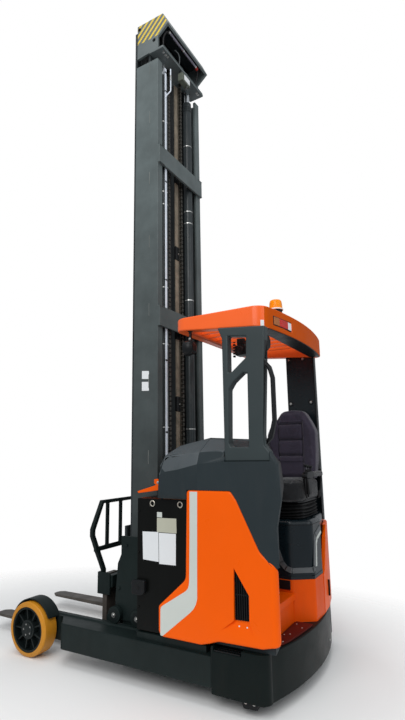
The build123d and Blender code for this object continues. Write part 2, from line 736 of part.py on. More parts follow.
# Mast head: notched side plates, a rear beam, a shelf on the lift rods and the pulley brackets
head_reach_x = RAIL_REAR_X - HEAD_REACH
head_front_x = RAIL_FRONT_X - RUN - ROLL
beam_x = RAIL_REAR_X - HEAD_REACH / 2
waist_x = RAIL_REAR_X - SEAT
pulley_x = CHAIN_X + CHAIN_THICK / 2 + PULLEY_R
pulley_z = head_bottom + PULLEY_RISE
bracket_x = (CHAIN_X - PULLEY_PIN_R, pulley_x + PULLEY_PIN_R + RUN)
bracket_half = PULLEY_HALF + PULLEY_GAP + PULLEY_PLATE
bracket_y = (CHAIN_Y - bracket_half, CHAIN_Y + bracket_half)
with BuildPart() as head:
    plate = [
        (head_front_x, head_top),
        (beam_x, head_top),
        (head_reach_x, head_top - HEAD_NOSE_DROP),
        (waist_x, head_top - HEAD_WAIST_DROP),
        (waist_x, head_bottom + HEAD_FRONT_RISE),
        (head_front_x, head_bottom),
    ]
    front_eye = (RAIL_FRONT_X - HEAD_EYE_FRONT[0], head_top - HEAD_EYE_FRONT[1])
    rear_eye = (RAIL_REAR_X + HEAD_EYE_REAR[0], head_top - HEAD_EYE_REAR[1])
    for sign in (1, -1):
        across(plate, *span(sign, middle_out, OUTER_FACE_Y))
        for eye in (front_eye, rear_eye):
            eye_y = span(sign, middle_out - THROUGH, OUTER_FACE_Y + THROUGH)
            disc_across(eye, PIVOT_R, *eye_y, Mode.SUBTRACT, HOLE_SIDES)
    beam = [
        (beam_x + BULKHEAD, head_top),
        (beam_x, head_top),
        (head_reach_x, head_top - HEAD_NOSE_DROP),
        (head_reach_x + DRIVE_PLATE, head_top - HEAD_NOSE_DROP - HEAD_NOSE),
    ]
    across(beam, -OUTER_FACE_Y, OUTER_FACE_Y)
    shelf_z = (head_bottom, head_bottom + HEAD_SHELF)
    block((beam_x, MIDDLE_REAR_X), (-OUTER_FACE_Y, OUTER_FACE_Y), shelf_z)
    for sign in (1, -1):
        bracket_z = (head_bottom, pulley_z + PULLEY_R - DRIVE_PLATE)
        block(bracket_x, span(sign, bracket_y[0], bracket_y[0] + PULLEY_PLATE), bracket_z)
        block(bracket_x, span(sign, bracket_y[1] - PULLEY_PLATE, bracket_y[1]), bracket_z)
        slot_y = span(sign, bracket_y[0] + PULLEY_PLATE, bracket_y[1] - PULLEY_PLATE)
        slot_z = (head_bottom - THROUGH, shelf_z[1] + THROUGH)
        block((CHAIN_X - LIFT_CYL_R, bracket_x[1] + THROUGH), slot_y, slot_z, Mode.SUBTRACT)
        pin_y = span(sign, bracket_y[0] - THROUGH, bracket_y[1] + THROUGH)
        disc_across((pulley_x, pulley_z), PULLEY_PIN_R + PIN, *pin_y, Mode.SUBTRACT)
write(head.part, "mast_head")

with BuildPart() as chains:
    for sign in (1, -1):
        pulley_y = span(sign, CHAIN_Y - PULLEY_HALF, CHAIN_Y + PULLEY_HALF)
        disc_across((pulley_x, pulley_z), PULLEY_R, *pulley_y, sides=SMALL_SIDES)
        disc_across((pulley_x, pulley_z), PULLEY_PIN_R, *span(sign, *bracket_y))
        block(
            (CHAIN_X - CHAIN_THICK / 2, CHAIN_X + CHAIN_THICK / 2),
            span(sign, CHAIN_Y - CHAIN_WIDTH / 2, CHAIN_Y + CHAIN_WIDTH / 2),
            (low_tie_top, pulley_z),
        )
write(chains.part, "lift_chains")

# Inner mast: two I sections with a tie at each end
with BuildPart() as inner_mast:
    for sign in (1, -1):
        rail = i_section(sign, inner_rear_x, inner_front_x, inner_out, inner_web, INNER_TIP_Y)
        upward(rail, stage_bottom, inner_top)
        roller_y = span(sign, inner_web - THROUGH, inner_out)
        roller = (middle_centre_x, stage_bottom + roller_drop)
        disc_across(roller, stage_gap_r, *roller_y, sides=SMALL_SIDES)
    tie_half = inner_web - WEB
    tie_x = (inner_front_x - INNER_TIE[0], inner_front_x - INNER_TIE[1])
    block(tie_x, (-tie_half, tie_half), (inner_top - INNER_TIE_HEIGHT, inner_top))
    foot_x = (inner_rear_x + STAGE_FLANGE, inner_front_x - 2 * STAGE_FLANGE)
    block(foot_x, (-tie_half, tie_half), (stage_bottom, stage_bottom + STAGE_SHIFT))
write(inner_mast.part, "inner_mast")

# Free lift cylinder in the middle of the inner mast, its rod, yoke and sheaves
free_bottom = stage_bottom + STAGE_SHIFT
yoke_z = FREE_CYL_TOP + YOKE_GAP
with BuildPart() as free_cylinder:
    disc_up((FREE_CYL_X, 0), FREE_CYL_R, free_bottom, FREE_CYL_TOP)
    free_bore = (free_bottom + FREE_CYL_R, FREE_CYL_TOP + THROUGH)
    disc_up((FREE_CYL_X, 0), FREE_ROD_R + PIN, *free_bore, Mode.SUBTRACT)
write(free_cylinder.part, "free_lift_cylinder")
with BuildPart() as free_rod:
    disc_up((FREE_CYL_X, 0), FREE_ROD_R, free_bottom + 2 * FREE_CYL_R, yoke_z)
    yoke_x = (FREE_CYL_X - DRIVE_PLATE, FREE_CYL_X + DRIVE_PLATE)
    block(yoke_x, (-YOKE_HALF, YOKE_HALF), (yoke_z, yoke_z + YOKE_HEIGHT))
    for sign in (1, -1):
        sheave_y = span(sign, YOKE_HALF - CHAIN_WIDTH - RUN, YOKE_HALF - RUN)
        disc_across((FREE_CYL_X, yoke_z + YOKE_HEIGHT), SHEAVE_R, *sheave_y, sides=SMALL_SIDES)
write(free_rod.part, "free_lift_rod")

# Reach carriage: side plates with rollers, and the boxes that hold the outer mast
carr_in_y = CARR_OUT_Y - CARR_PLATE
reach_roller_z = LEG_TOP + REACH_ROLLER_R + ROLL
box_x = (RAIL_REAR_X + RUN, RAIL_FRONT_X - RUN)
high_box_z = (CARR_TOP - CARR_BOX[0], CARR_TOP - CARR_BOX[1])
cheek = [(CARR_REAR_X, CARR_BOTTOM), (CARR_FRONT_X - RUN, CARR_BOTTOM), *CHEEK]
with BuildPart() as reach_carriage:
    for sign in (1, -1):
        across(cheek, *span(sign, carr_in_y, CARR_OUT_Y))
        for box_z in ((MAST_BOTTOM, CARR_BOTTOM + CARR_PLATE), high_box_z):
            block(box_x, span(sign, OUTER_FACE_Y, carr_in_y), box_z)
        for roller_x in REACH_ROLLERS_X:
            boss_y = span(sign, CARR_OUT_Y, CARR_OUT_Y + RUN)
            roller_y = span(sign, CARR_OUT_Y + RUN, track_in_y + TRACK_WIDTH - RUN)
            disc_across((roller_x, reach_roller_z), CARR_PLATE, *boss_y, sides=HOLE_SIDES)
            disc_across((roller_x, reach_roller_z), REACH_ROLLER_R, *roller_y, sides=SMALL_SIDES)
write(reach_carriage.part, "reach_carriage")

# Fork carriage in the inner mast: roller plates, rollers and three bars
carriage_face_x = inner_front_x + CARRIAGE_PLATE
carriage_top = CARRIAGE_BARS_Z[-1] + CARRIAGE_BAR_HEIGHT
plate_out_y = CARRIAGE_PLATE_Y + CARRIAGE_PLATE
with BuildPart() as lift_carriage:
    for sign in (1, -1):
        carriage_x = (inner_centre_x - RUN, carriage_face_x + THROUGH)
        carriage_z = (SHIFTER_BARS_Z[0], carriage_top)
        block(carriage_x, span(sign, CARRIAGE_PLATE_Y, plate_out_y), carriage_z)
        for roller_z in (CARRIAGE_LOW_ROLLER, carriage_top - roller_drop):
            roller_y = span(sign, plate_out_y - THROUGH, tie_half - RUN)
            disc_across((inner_centre_x, roller_z), stage_gap_r, *roller_y, sides=SMALL_SIDES)
    for low in CARRIAGE_BARS_Z:
        bar_x = (carriage_face_x, carriage_face_x + CARRIAGE_BAR)
        block(bar_x, (-CARRIAGE_HALF, CARRIAGE_HALF), (low, low + CARRIAGE_BAR_HEIGHT))
write(lift_carriage.part, "lift_carriage")

# Side shifter with its slide pads, and the tilting frame that the forks hang on
shift_x = carriage_face_x + CARRIAGE_BAR
shifter_x = (shift_x + RUN, shift_x + RUN + SHIFTER_BAR)
shifter_top = TILT_PIVOT_Z - PIVOT_R
tilt_x = shifter_x[1] + TILT_GAP
pivot = (shifter_x[1] + RUN + THROUGH, TILT_PIVOT_Z)
lug_y = (EAR_Y - RUN - EAR, EAR_Y - RUN)
with BuildPart() as side_shifter:
    for low in SHIFTER_BARS_Z:
        block(shifter_x, (-SHIFTER_HALF, SHIFTER_HALF), (low, low + CARRIAGE_BAR_HEIGHT))
    for sign in (1, -1):
        block(shifter_x, span(sign, PAD_Y + 2 * EAR, CARRIAGE_HALF), (SHIFTER_BARS_Z[0], shifter_top))
        for low in (SHIFTER_BARS_Z[0] + RUN, SHIFTER_BARS_Z[1] + EAR):
            pad_y = span(sign, PAD_Y, PAD_Y + 4 * EAR)
            block((shift_x + SEAT, shifter_x[0]), pad_y, (low, low + CARRIAGE_BAR_HEIGHT / 2))
        ear = [
            (shifter_x[0], TILT_PIVOT_Z - EAR_ROOT),
            (pivot[0] + EAR, TILT_PIVOT_Z - EAR_RISE),
            (pivot[0] + EAR, TILT_PIVOT_Z + EAR_RISE),
            (shifter_x[0], TILT_PIVOT_Z + EAR_RISE),
        ]
        across(ear, *span(sign, EAR_Y, EAR_Y + EAR))
        disc_across(pivot, PIVOT_R, *span(sign, lug_y[0] - THROUGH, EAR_Y + THROUGH))
write(side_shifter.part, "side_shifter")

shank_x = tilt_x + TILT_BAR + HOOK
face_x = shank_x + FORK_SHANK
fork_tip_x = face_x + FORK_LENGTH
bars_top = BARS_Z[1] + BAR_HEIGHT
with BuildPart() as tilt_frame:
    for low in BARS_Z:
        block((tilt_x, tilt_x + TILT_BAR), (-TILT_HALF, TILT_HALF), (low, low + BAR_HEIGHT))
    for place in (-1, 0, 1):
        rib_y = (place * FORK_WIDTH - PIVOT_R, place * FORK_WIDTH + PIVOT_R)
        block((tilt_x, tilt_x + TILT_BAR - HOOK), rib_y, (BARS_Z[0], bars_top))
    for sign in (1, -1):
        lug = [
            (tilt_x, bars_top - THROUGH),
            (tilt_x + STAGE_SHIFT, bars_top - THROUGH),
            (tilt_x + FLANGE, TILT_PIVOT_Z + EAR_RISE),
            (pivot[0] - EAR, TILT_PIVOT_Z + EAR_RISE),
            (pivot[0] - EAR, TILT_PIVOT_Z - LUG_DROP),
            (tilt_x, TILT_PIVOT_Z - LUG_ROOT),
        ]
        across(lug, *span(sign, *lug_y))
        lug_hole_y = span(sign, lug_y[0] - THROUGH, lug_y[1] + THROUGH)
        disc_across(pivot, PIVOT_R + PIN, *lug_hole_y, Mode.SUBTRACT)
write(tilt_frame.part, "fork_frame")

# Forks: tapered blades with a heel fillet, hooked over the frame's bars
blade_top = FORK_BOTTOM + FORK_THICK
with BuildPart() as forks:
    profile = [
        (shank_x, FORK_BOTTOM + HEEL),
        (shank_x + HEEL, FORK_BOTTOM),
        (fork_tip_x - TIP_NOSE, FORK_BOTTOM + TIP_RISE - 2 * TIP_ROUND),
        (fork_tip_x, FORK_BOTTOM + TIP_RISE),
        (fork_tip_x, blade_top - TIP_ROUND),
        (fork_tip_x - TIP_NOSE, blade_top),
        (face_x + HEEL_FILLET, blade_top),
        (face_x + TIP_ROUND, blade_top + TIP_ROUND),
        (face_x, blade_top + HEEL_FILLET),
        (face_x, SHANK_TOP),
        (shank_x, SHANK_TOP),
    ]
    for sign in (1, -1):
        across(profile, *span(sign, FORK_Y - FORK_WIDTH / 2, FORK_Y + FORK_WIDTH / 2))
        for low in BARS_Z:
            hook_y = span(sign, FORK_Y - FORK_WIDTH / 2 + PIVOT_R, FORK_Y + FORK_WIDTH / 2 - PIVOT_R)
            block((shank_x - HOOK, shank_x), hook_y, (low + HOOK, low + BAR_HEIGHT - HOOK))
        for edge in (1, -1):
            edge_y = sign * FORK_Y + edge * (FORK_WIDTH / 2 + THROUGH)
            corner = [
                (fork_tip_x - TIP_LENGTH, edge_y),
                (fork_tip_x + THROUGH, edge_y),
                (fork_tip_x + THROUGH, sign * FORK_Y + edge * TIP_HALF),
            ]
            upward(corner, 0, blade_top + THROUGH, Mode.SUBTRACT)
write(forks.part, "forks")

# Load backrest in front of the fork shanks
rest_x = face_x + RUN
rest_front_x = rest_x + REST_BAR
with BuildPart() as backrest:
    for sign in (1, -1):
        along([(sign * y, z) for y, z in REST_OUTLINE], rest_x, rest_front_x)
        block((tilt_x + PIVOT_R, rest_front_x), span(sign, TILT_HALF, TILT_HALF + BULKHEAD), REST_STRAP_Z)
        block((rest_x, rest_front_x), span(sign, REST_STRAP_Y, TILT_HALF + BULKHEAD), REST_STRAP_Z)
    for place in (-2, -1, 0, 1, 2):
        slat_y = (place * FORK_Y / 2 - REST_SLAT, place * FORK_Y / 2 + REST_SLAT)
        block((rest_x + REST_STEP, rest_front_x - RUN), slat_y, (RAIL_LOW_Z + RUN, RAIL_HIGH_Z + BULKHEAD))
    rail_x = (rest_x, rest_front_x - REST_STEP)
    block(rail_x, (-RAIL_HIGH_HALF, RAIL_HIGH_HALF), (RAIL_HIGH_Z, RAIL_HIGH_Z + FLANGE))
    block(rail_x, (-RAIL_LOW_HALF, RAIL_LOW_HALF), (RAIL_LOW_Z, RAIL_LOW_Z + STAGE_SHIFT))
write(backrest.part, "load_backrest")


# Side panels: skins that turn round the rear corners, the left one with a vent and its sill
def panel_plan(sign, inner_gap):
    # Plan of a skin with a return at the back. The inner gap widens it for the recess behind.
    skin_y = PANEL_OUT_Y - PANEL_WALL - inner_gap
    return_x = PANEL_BACK_X + PANEL_WALL + inner_gap
    turn_x = PANEL_BACK_X + PANEL_R
    turn_y = PANEL_OUT_Y - PANEL_R
    arc_out = PANEL_R * (1 - cos(radians(45)))
    arc_in = arc_out + (PANEL_WALL + inner_gap) * cos(radians(45))
    front_x = PANEL_OUTLINE[-2][0] + THROUGH
    with BuildLine() as edge:
        Line((front_x, sign * PANEL_OUT_Y), (turn_x, sign * PANEL_OUT_Y))
        ThreePointArc(
            (turn_x, sign * PANEL_OUT_Y),
            (PANEL_BACK_X + arc_out, sign * (PANEL_OUT_Y - arc_out)),
            (PANEL_BACK_X, sign * turn_y),
        )
        Line((PANEL_BACK_X, sign * turn_y), (PANEL_BACK_X, sign * PANEL_RETURN_Y))
        Line((PANEL_BACK_X, sign * PANEL_RETURN_Y), (return_x, sign * PANEL_RETURN_Y))
        Line((return_x, sign * PANEL_RETURN_Y), (return_x, sign * turn_y))
        ThreePointArc(
            (return_x, sign * turn_y),
            (PANEL_BACK_X + arc_in, sign * (PANEL_OUT_Y - arc_in)),
            (turn_x, sign * skin_y),
        )
        Line((turn_x, sign * skin_y), (front_x, sign * skin_y))
        Line((front_x, sign * skin_y), (front_x, sign * PANEL_OUT_Y))
    return make_face(edge.edges())


def panel_shell(sign, inner_gap):
    with BuildSketch(Plane.XY.offset(SKIRT_TOP)) as plan:
        panel_plan(sign, inner_gap)
    extrude(plan.sketch, amount=COVER_TOP, dir=(0, 0, 1))
    across(PANEL_OUTLINE, *span(sign, CONSOLE_IN_Y, PANEL_OUT_Y + THROUGH), Mode.INTERSECT)


skin_in_y = PANEL_OUT_Y - PANEL_WALL
with BuildPart() as left_panel:
    panel_shell(1, 0)
    across(VENT, skin_in_y - THROUGH, PANEL_OUT_Y + THROUGH, Mode.SUBTRACT)
    taper_across(SILL_WIDE, PANEL_OUT_Y, SILL_NARROW, skin_in_y + THROUGH, Mode.SUBTRACT)
write(left_panel.part, "side_panel_left")
corner_x = CORNER_PLAN[0][0]
corner_inner = [(x + PANEL_WALL, y + lift) for (x, y), lift in zip(CORNER_PLAN[1:], CORNER_WALL)]
corner_inner = [(corner_x, -skin_in_y), *corner_inner]
with BuildPart() as right_corner:
    upward([(corner_x, -PANEL_OUT_Y), *CORNER_PLAN[1:], *reversed(corner_inner)], SKIRT_TOP, COVER_TOP)
    along(CORNER_OUTLINE, CORNER_PLAN[-1][0] - THROUGH, corner_x + THROUGH, Mode.INTERSECT)
with BuildPart() as right_panel:
    across(PANEL_OUTLINE, -PANEL_OUT_Y, -skin_in_y)
    block((PANEL_OUTLINE[4][0] - THROUGH, corner_x), (-PANEL_OUT_Y - THROUGH, 0), (0, COVER_TOP), Mode.SUBTRACT)
    add(right_corner.part)
write(right_panel.part, "side_panel_right")

# Left console: a crowned moulding with a recess for the panel, vent slats and a pocket for the pillar
foot_y = (GUARD_HALF - POST_IN, GUARD_HALF + POST_OUT)
foot_z = 1322.0
console_front = [(bulkhead_rear_x, SKIRT_TOP), (bulkhead_rear_x, hood_bottom)]
console_low = [(CONSOLE_SIDE[-1][0], SKIRT_TOP), *console_front]
inner_low = [(CONSOLE_INNER[-1][0], SKIRT_TOP), *console_front]
with BuildPart() as recess:
    panel_shell(1, SEAT)
with BuildPart() as right_recess:
    across(PANEL_OUTLINE, -PANEL_OUT_Y - THROUGH, -skin_in_y + SEAT)
with BuildPart() as left_console:
    console_start = (HOOD_REAR_X, hood_bottom)
    edge_outline = [console_start, *CONSOLE_EDGE, *console_low]
    taper_across([console_start, *CONSOLE_SIDE, *console_low], PANEL_OUT_Y, edge_outline, HOOD_EDGE_Y)
    taper_across(edge_outline, HOOD_EDGE_Y, [console_start, *CONSOLE_INNER, *inner_low], CONSOLE_IN_Y)
    add(recess.part, mode=Mode.SUBTRACT)
    pocket_x = (CONSOLE_SIDE[2][0], POST_FRONT[0][0] + SEAT)
    pocket_y = (foot_y[0] - SEAT, PANEL_OUT_Y + THROUGH)
    block(pocket_x, pocket_y, (foot_z, foot_z + CROSS_HEIGHT), Mode.SUBTRACT)
write(left_console.part, "left_console")

# Battery hood: flat in the middle, falling away to both sides, with a bevel along its upper edges
with BuildPart() as battery_hood:
    side_outline, edge_outline, middle_outline = (
        [(outline[0][0], hood_bottom), *outline, (HOOD_REAR_X, hood_bottom)]
        for outline in (HOOD_SIDE, HOOD_EDGE, HOOD_MIDDLE)
    )
    across(middle_outline, -HOOD_FLAT_Y, HOOD_FLAT_Y)
    for sign in (1, -1):
        taper_across(side_outline, sign * PANEL_OUT_Y, edge_outline, sign * HOOD_EDGE_Y)
        taper_across(edge_outline, sign * HOOD_EDGE_Y, middle_outline, sign * HOOD_FLAT_Y)
    add(recess.part, mode=Mode.SUBTRACT)
    add(right_recess.part, mode=Mode.SUBTRACT)
write(battery_hood.part, "battery_hood")

# Cab floor with its lip and riser, and the entry step
with BuildPart() as cab_floor:
    block((RISER_X, bulkhead_rear_x), (PEDESTAL_Y, CONSOLE_IN_Y), (FLOOR_TOP - FLOOR_THICK, FLOOR_TOP))
    block((RISER_X, RISER_X + FLOOR_THICK), (PEDESTAL_Y, CONSOLE_IN_Y), (SKIRT_TOP, FLOOR_TOP - FLOOR_THICK))
    lip_x = (RISER_X - FLOOR_THICK, RISER_X)
    block(lip_x, (PEDESTAL_Y, CONSOLE_IN_Y), (FLOOR_TOP - FLOOR_LIP, FLOOR_TOP))
write(cab_floor.part, "cab_floor")
mat_front_x = lip_x[0] - THROUGH
mat = [
    (mat_front_x, PEDESTAL_Y + RUN),
    (mat_front_x, CONSOLE_IN_Y - RUN),
    (SKIRT_REAR_X + MAT_IN[0], CONSOLE_IN_Y - RUN),
    (SKIRT_REAR_X + MAT_IN[1], (PEDESTAL_Y + CONSOLE_IN_Y) / 2),
    (SKIRT_REAR_X + MAT_IN[2], PEDESTAL_Y + RUN),
]
with BuildPart() as entry_step:
    upward(mat, SKIRT_TOP, STEP_TOP)
write(entry_step.part, "entry_step")

# Seat pedestal, its cover, the bellows and the seat
pedestal_front_x = bulkhead_rear_x


def pedestal_plan(inset, front_x):
    # Plan of the pedestal, its rear left corner cut off towards the entry.
    return [
        (front_x, PEDESTAL_Y - inset),
        (PEDESTAL_CUT_X + inset, PEDESTAL_Y - inset),
        (PEDESTAL_REAR_X + inset, PEDESTAL_CUT_Y - inset),
        (PEDESTAL_REAR_X + inset, CORNER_Y + SEAT),
        *((x + SEAT + inset, y + SEAT) for x, y in reversed(corner_inner[1:])),
        (corner_x + inset, PEDESTAL_RIGHT_Y + inset),
        (front_x, PEDESTAL_RIGHT_Y + inset),
    ]


with BuildPart() as pedestal_base:
    upward(pedestal_plan(0, pedestal_front_x), SKIRT_TOP, PEDESTAL_TOP)
    inside = pedestal_plan(PEDESTAL_WALL, pedestal_front_x + THROUGH)
    upward(inside, SKIRT_TOP - THROUGH, PEDESTAL_TOP - PEDESTAL_WALL, Mode.SUBTRACT)
    motor_hole = (PEDESTAL_TOP - 2 * PEDESTAL_WALL, PEDESTAL_TOP + THROUGH)
    disc_up(drive_axis, MOTOR_R + MOTOR_GAP, *motor_hole, Mode.SUBTRACT, SMALL_SIDES)
write(pedestal_base.part, "pedestal_base")

motor_top = plate_top + MOTOR_HEIGHT
with BuildPart() as pedestal_cover:
    upward(pedestal_plan(COVER_INSET, COVER_FRONT_X), PEDESTAL_TOP, COVER_TOP)
    beside = (PEDESTAL_TOP - THROUGH, COVER_TOP + THROUGH)
    block((PEDESTAL_REAR_X, COVER_FRONT_X + THROUGH), (PEDESTAL_RIGHT_Y, COVER_RIGHT_Y), beside, Mode.SUBTRACT)
    motor_space = (PEDESTAL_TOP - THROUGH, motor_top + MOTOR_GAP)
    disc_up(drive_axis, MOTOR_R + MOTOR_GAP, *motor_space, Mode.SUBTRACT, SMALL_SIDES)
write(pedestal_cover.part, "pedestal_cover")

bellows_low = COVER_TOP + SEAT
cushion_low = bellows_low + PLEATS * PLEAT + SEAT
cushion_top = cushion_low + SEAT_THICK
with BuildPart() as bellows:
    for number in range(PLEATS):
        inset = BELLOWS_FOLD if number % 2 else 0
        low = bellows_low + number * PLEAT
        fold_x = (BELLOWS_X[0] + inset, BELLOWS_X[1] - inset)
        fold_y = (BELLOWS_Y[0] + inset, BELLOWS_Y[1] - inset)
        block(fold_x, fold_y, (low, low + PLEAT))
write(bellows.part, "seat_bellows")
with BuildPart() as cushion:
    block(SEAT_X, SEAT_Y, (cushion_low, cushion_top))
    fillet(cushion.edges().filter_by(Axis.Z), SEAT_R)
write(cushion.part, "seat_cushion")
back_rear_y = BACK_FRONT_Y - BACK_DEPTH
with BuildPart() as seat_back:
    back = [
        (back_rear_y, cushion_top + SEAT),
        (BACK_FRONT_Y, cushion_top + SEAT),
        (BACK_FRONT_Y - BACK_LEAN, BACK_TOP - BACK_SHOULDER),
        (BACK_FRONT_Y - BACK_LEAN - BACK_SHOULDER, BACK_TOP),
        (back_rear_y + BULKHEAD, BACK_TOP),
        (back_rear_y - BACK_LEAN, BACK_TOP - BACK_SHOULDER),
    ]
    along(back, *BACK_X)
write(seat_back.part, "seat_back")

# Armrest with the lift controls, and the steering wheel on its column
arm_low = cushion_top + ARM_RISE
arm_x = (BACK_X[0] - BULKHEAD - ARM_WIDTH, BACK_X[0] - BULKHEAD)
with BuildPart() as armrest:
    block(arm_x, (BACK_FRONT_Y - ARM_HEIGHT, SEAT_Y[1] - EAR), (arm_low, arm_low + ARM_HEIGHT))
    bracket = (BACK_FRONT_Y - ARM_HEIGHT, BACK_FRONT_Y)
    block((arm_x[1], BACK_X[0] - SEAT), bracket, (arm_low + THROUGH, arm_low + ARM_HEIGHT - THROUGH))
    stick = ((arm_x[0] + arm_x[1]) / 2, SEAT_Y[1] - 2 * EAR)
    stick_z = (arm_low + ARM_HEIGHT - THROUGH, arm_low + ARM_HEIGHT + STICK_HEIGHT)
    disc_up(stick, STICK_R, *stick_z, sides=HOLE_SIDES)
write(armrest.part, "armrest")
with BuildPart() as steering:
    column_top = COLUMN_LOW + COLUMN_HEIGHT
    disc_up((STEERING_X, STEERING_Y), COLUMN_R, COLUMN_LOW, column_top, sides=HOLE_SIDES)
    disc_up((STEERING_X, STEERING_Y), WHEEL_RIM_R, column_top, column_top + WHEEL_RIM, sides=SMALL_SIDES)
    column_x = (STEERING_X - STAGE_SHIFT, STEERING_X + STAGE_SHIFT)
    block(column_x, (STEERING_Y - STAGE_SHIFT, CONSOLE_IN_Y), (COLUMN_LOW, COLUMN_LOW + ARM_HEIGHT))
write(steering.part, "steering_wheel")


# Pillars under the guard's sloping lower edge
def guard_under(x):
    slope = (GUARD_REAR_BAND - GUARD_FRONT_BAND) / (GUARD_FRONT_X - GUARD_TURN_X)
    return GUARD_TOP - GUARD_FRONT_BAND - slope * (GUARD_FRONT_X - x)


with BuildPart() as left_pillar:
    foot = [(POST_FRONT[0][0], foot_z), *POST_FRONT]
    top_x = (POST_FRONT[1][0] + STAGE_SHIFT, POST_REAR[0][0] - RUN)
    crown = [(x, guard_under(x)) for x in top_x]
    rear = [*POST_REAR, (CONSOLE_SIDE[2][0] + SEAT, CONSOLE_SIDE[2][1]), (CONSOLE_SIDE[2][0] + SEAT, foot_z)]
    across([*foot, *crown, *rear], *foot_y)
    window_y = (foot_y[0] - THROUGH, foot_y[1] + THROUGH)
    across(WINDOW_LOW, *window_y, Mode.SUBTRACT)
    across(WINDOW_HIGH, *window_y, Mode.SUBTRACT)
    across([*HANDLE_OUTER, *HANDLE_INNER], foot_y[0] + BULKHEAD, foot_y[1] - BULKHEAD)
write(left_pillar.part, "pillar_left")
with BuildPart() as right_pillar:
    plate_points = [
        (PLATE_LOW_X, PEDESTAL_TOP),
        (PLATE_X[1], PEDESTAL_TOP),
        (PLATE_X[1], guard_under(PLATE_X[1])),
        (PLATE_X[0], guard_under(PLATE_X[0])),
        (PLATE_X[0], CORNER_OUTLINE[-1][1] + RUN),
        (PLATE_LOW_X, CORNER_OUTLINE[-1][1] + RUN),
    ]
    across(plate_points, -GUARD_HALF + FLANGE, -GUARD_HALF + PLATE_IN)
write(right_pillar.part, "pillar_right")

# Overhead guard: a deep frame with rounded corners, slats along it and a lamp recess at the back
rim_y = GUARD_HALF - GUARD_RIM
rim_x = (GUARD_SIDE_X + RUN, GUARD_FRONT_X - GUARD_RIM)
turn_y = GUARD_HALF - GUARD_TURN_IN
corner_in = GUARD_R * (1 - cos(radians(45)))
front_turn_x = GUARD_FRONT_X - GUARD_R
guard_low = GUARD_TOP - GUARD_REAR_BAND - 2 * RUN
with BuildPart() as guard:
    with BuildSketch(Plane.XY.offset(guard_low)) as roof:
        with BuildLine() as edge:
            Line((GUARD_FRONT_X, GUARD_R - GUARD_HALF), (GUARD_FRONT_X, GUARD_HALF - GUARD_R))
            for sign in (1, -1):
                ThreePointArc(
                    (GUARD_FRONT_X, sign * (GUARD_HALF - GUARD_R)),
                    (GUARD_FRONT_X - corner_in, sign * (GUARD_HALF - corner_in)),
                    (front_turn_x, sign * GUARD_HALF),
                )
                Line((front_turn_x, sign * GUARD_HALF), (GUARD_SIDE_X, sign * GUARD_HALF))
                ThreePointArc(
                    (GUARD_SIDE_X, sign * GUARD_HALF),
                    (GUARD_TURN_X + corner_in, sign * (GUARD_HALF - corner_in)),
                    (GUARD_TURN_X, sign * turn_y),
                )
            ThreePointArc((GUARD_TURN_X, turn_y), (GUARD_REAR_X, 0), (GUARD_TURN_X, -turn_y))
        make_face(edge.edges())
    extrude(roof.sketch, amount=GUARD_TOP - guard_low)
    under = [
        (GUARD_FRONT_X + THROUGH, guard_low - THROUGH),
        (GUARD_FRONT_X + THROUGH, guard_under(GUARD_FRONT_X + THROUGH)),
        (GUARD_REAR_X - THROUGH, guard_under(GUARD_REAR_X - THROUGH)),
        (GUARD_REAR_X - THROUGH, guard_low - THROUGH),
    ]
    across(under, -GUARD_HALF - THROUGH, GUARD_HALF + THROUGH, Mode.SUBTRACT)
    block(rim_x, (-rim_y, rim_y), (guard_low - THROUGH, GUARD_TOP + THROUGH), Mode.SUBTRACT)
    for number in range(GUARD_SLATS):
        slat_y = (number - (GUARD_SLATS - 1) / 2) * SLAT_PITCH
        slat_z = (GUARD_TOP - SLAT_DROP - SLAT_HEIGHT, GUARD_TOP - SLAT_DROP)
        block(rim_x, (slat_y - SLAT_HALF, slat_y + SLAT_HALF), slat_z)
    recess_x = (GUARD_REAR_X - THROUGH, GUARD_TURN_X - 2 * RECESS_DEPTH)
    block(recess_x, RECESS_Y, RECESS_Z, Mode.SUBTRACT)
write(guard.part, "overhead_guard")

# Beacon on the guard, and a work lamp on a stem under each of its sides
with BuildPart() as beacon:
    disc_up((BEACON_X, BEACON_Y), BEACON_BASE_R, GUARD_TOP, GUARD_TOP + BEACON_BASE, sides=SMALL_SIDES)
    dome_z = (GUARD_TOP + BEACON_BASE, GUARD_TOP + BEACON_BASE + BEACON_HEIGHT)
    disc_up((BEACON_X, BEACON_Y), BEACON_R, *dome_z, sides=SMALL_SIDES)
write(beacon.part, "beacon")
lamp_y = GUARD_HALF - STAGE_SHIFT
lamp_mid_x = (LAMP_X[0] + LAMP_X[1]) / 2
lamp_z = guard_under(LAMP_X[0]) - LAMP_DROP - LAMP_R
with BuildPart() as lamps:
    for sign in (1, -1):
        stem_z = (lamp_z, guard_under(lamp_mid_x + STEM_R))
        stem = [(lamp_mid_x - STEM_R, lamp_z), (lamp_mid_x + STEM_R, lamp_z)]
        stem += [(x, guard_under(x)) for x in (lamp_mid_x + STEM_R, lamp_mid_x - STEM_R)]
        across(stem, sign * lamp_y - STEM_R, sign * lamp_y + STEM_R)
        with BuildSketch(Plane.YZ.offset(LAMP_X[0])) as body:
            with Locations((sign * lamp_y, lamp_z)):
                RegularPolygon(LAMP_R, SMALL_SIDES)
        extrude(body.sketch, amount=LAMP_X[1] - LAMP_X[0])
write(lamps.part, "work_lamps")
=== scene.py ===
# Reach truck: materials, soft parts, trim, small fittings, stage, lights and camera.
# Metres. +X points to the fork tips, +Y to the left-hand side, +Z up.
import math
import random

import bmesh
import bpy
from mathutils import Matrix, Vector, noise


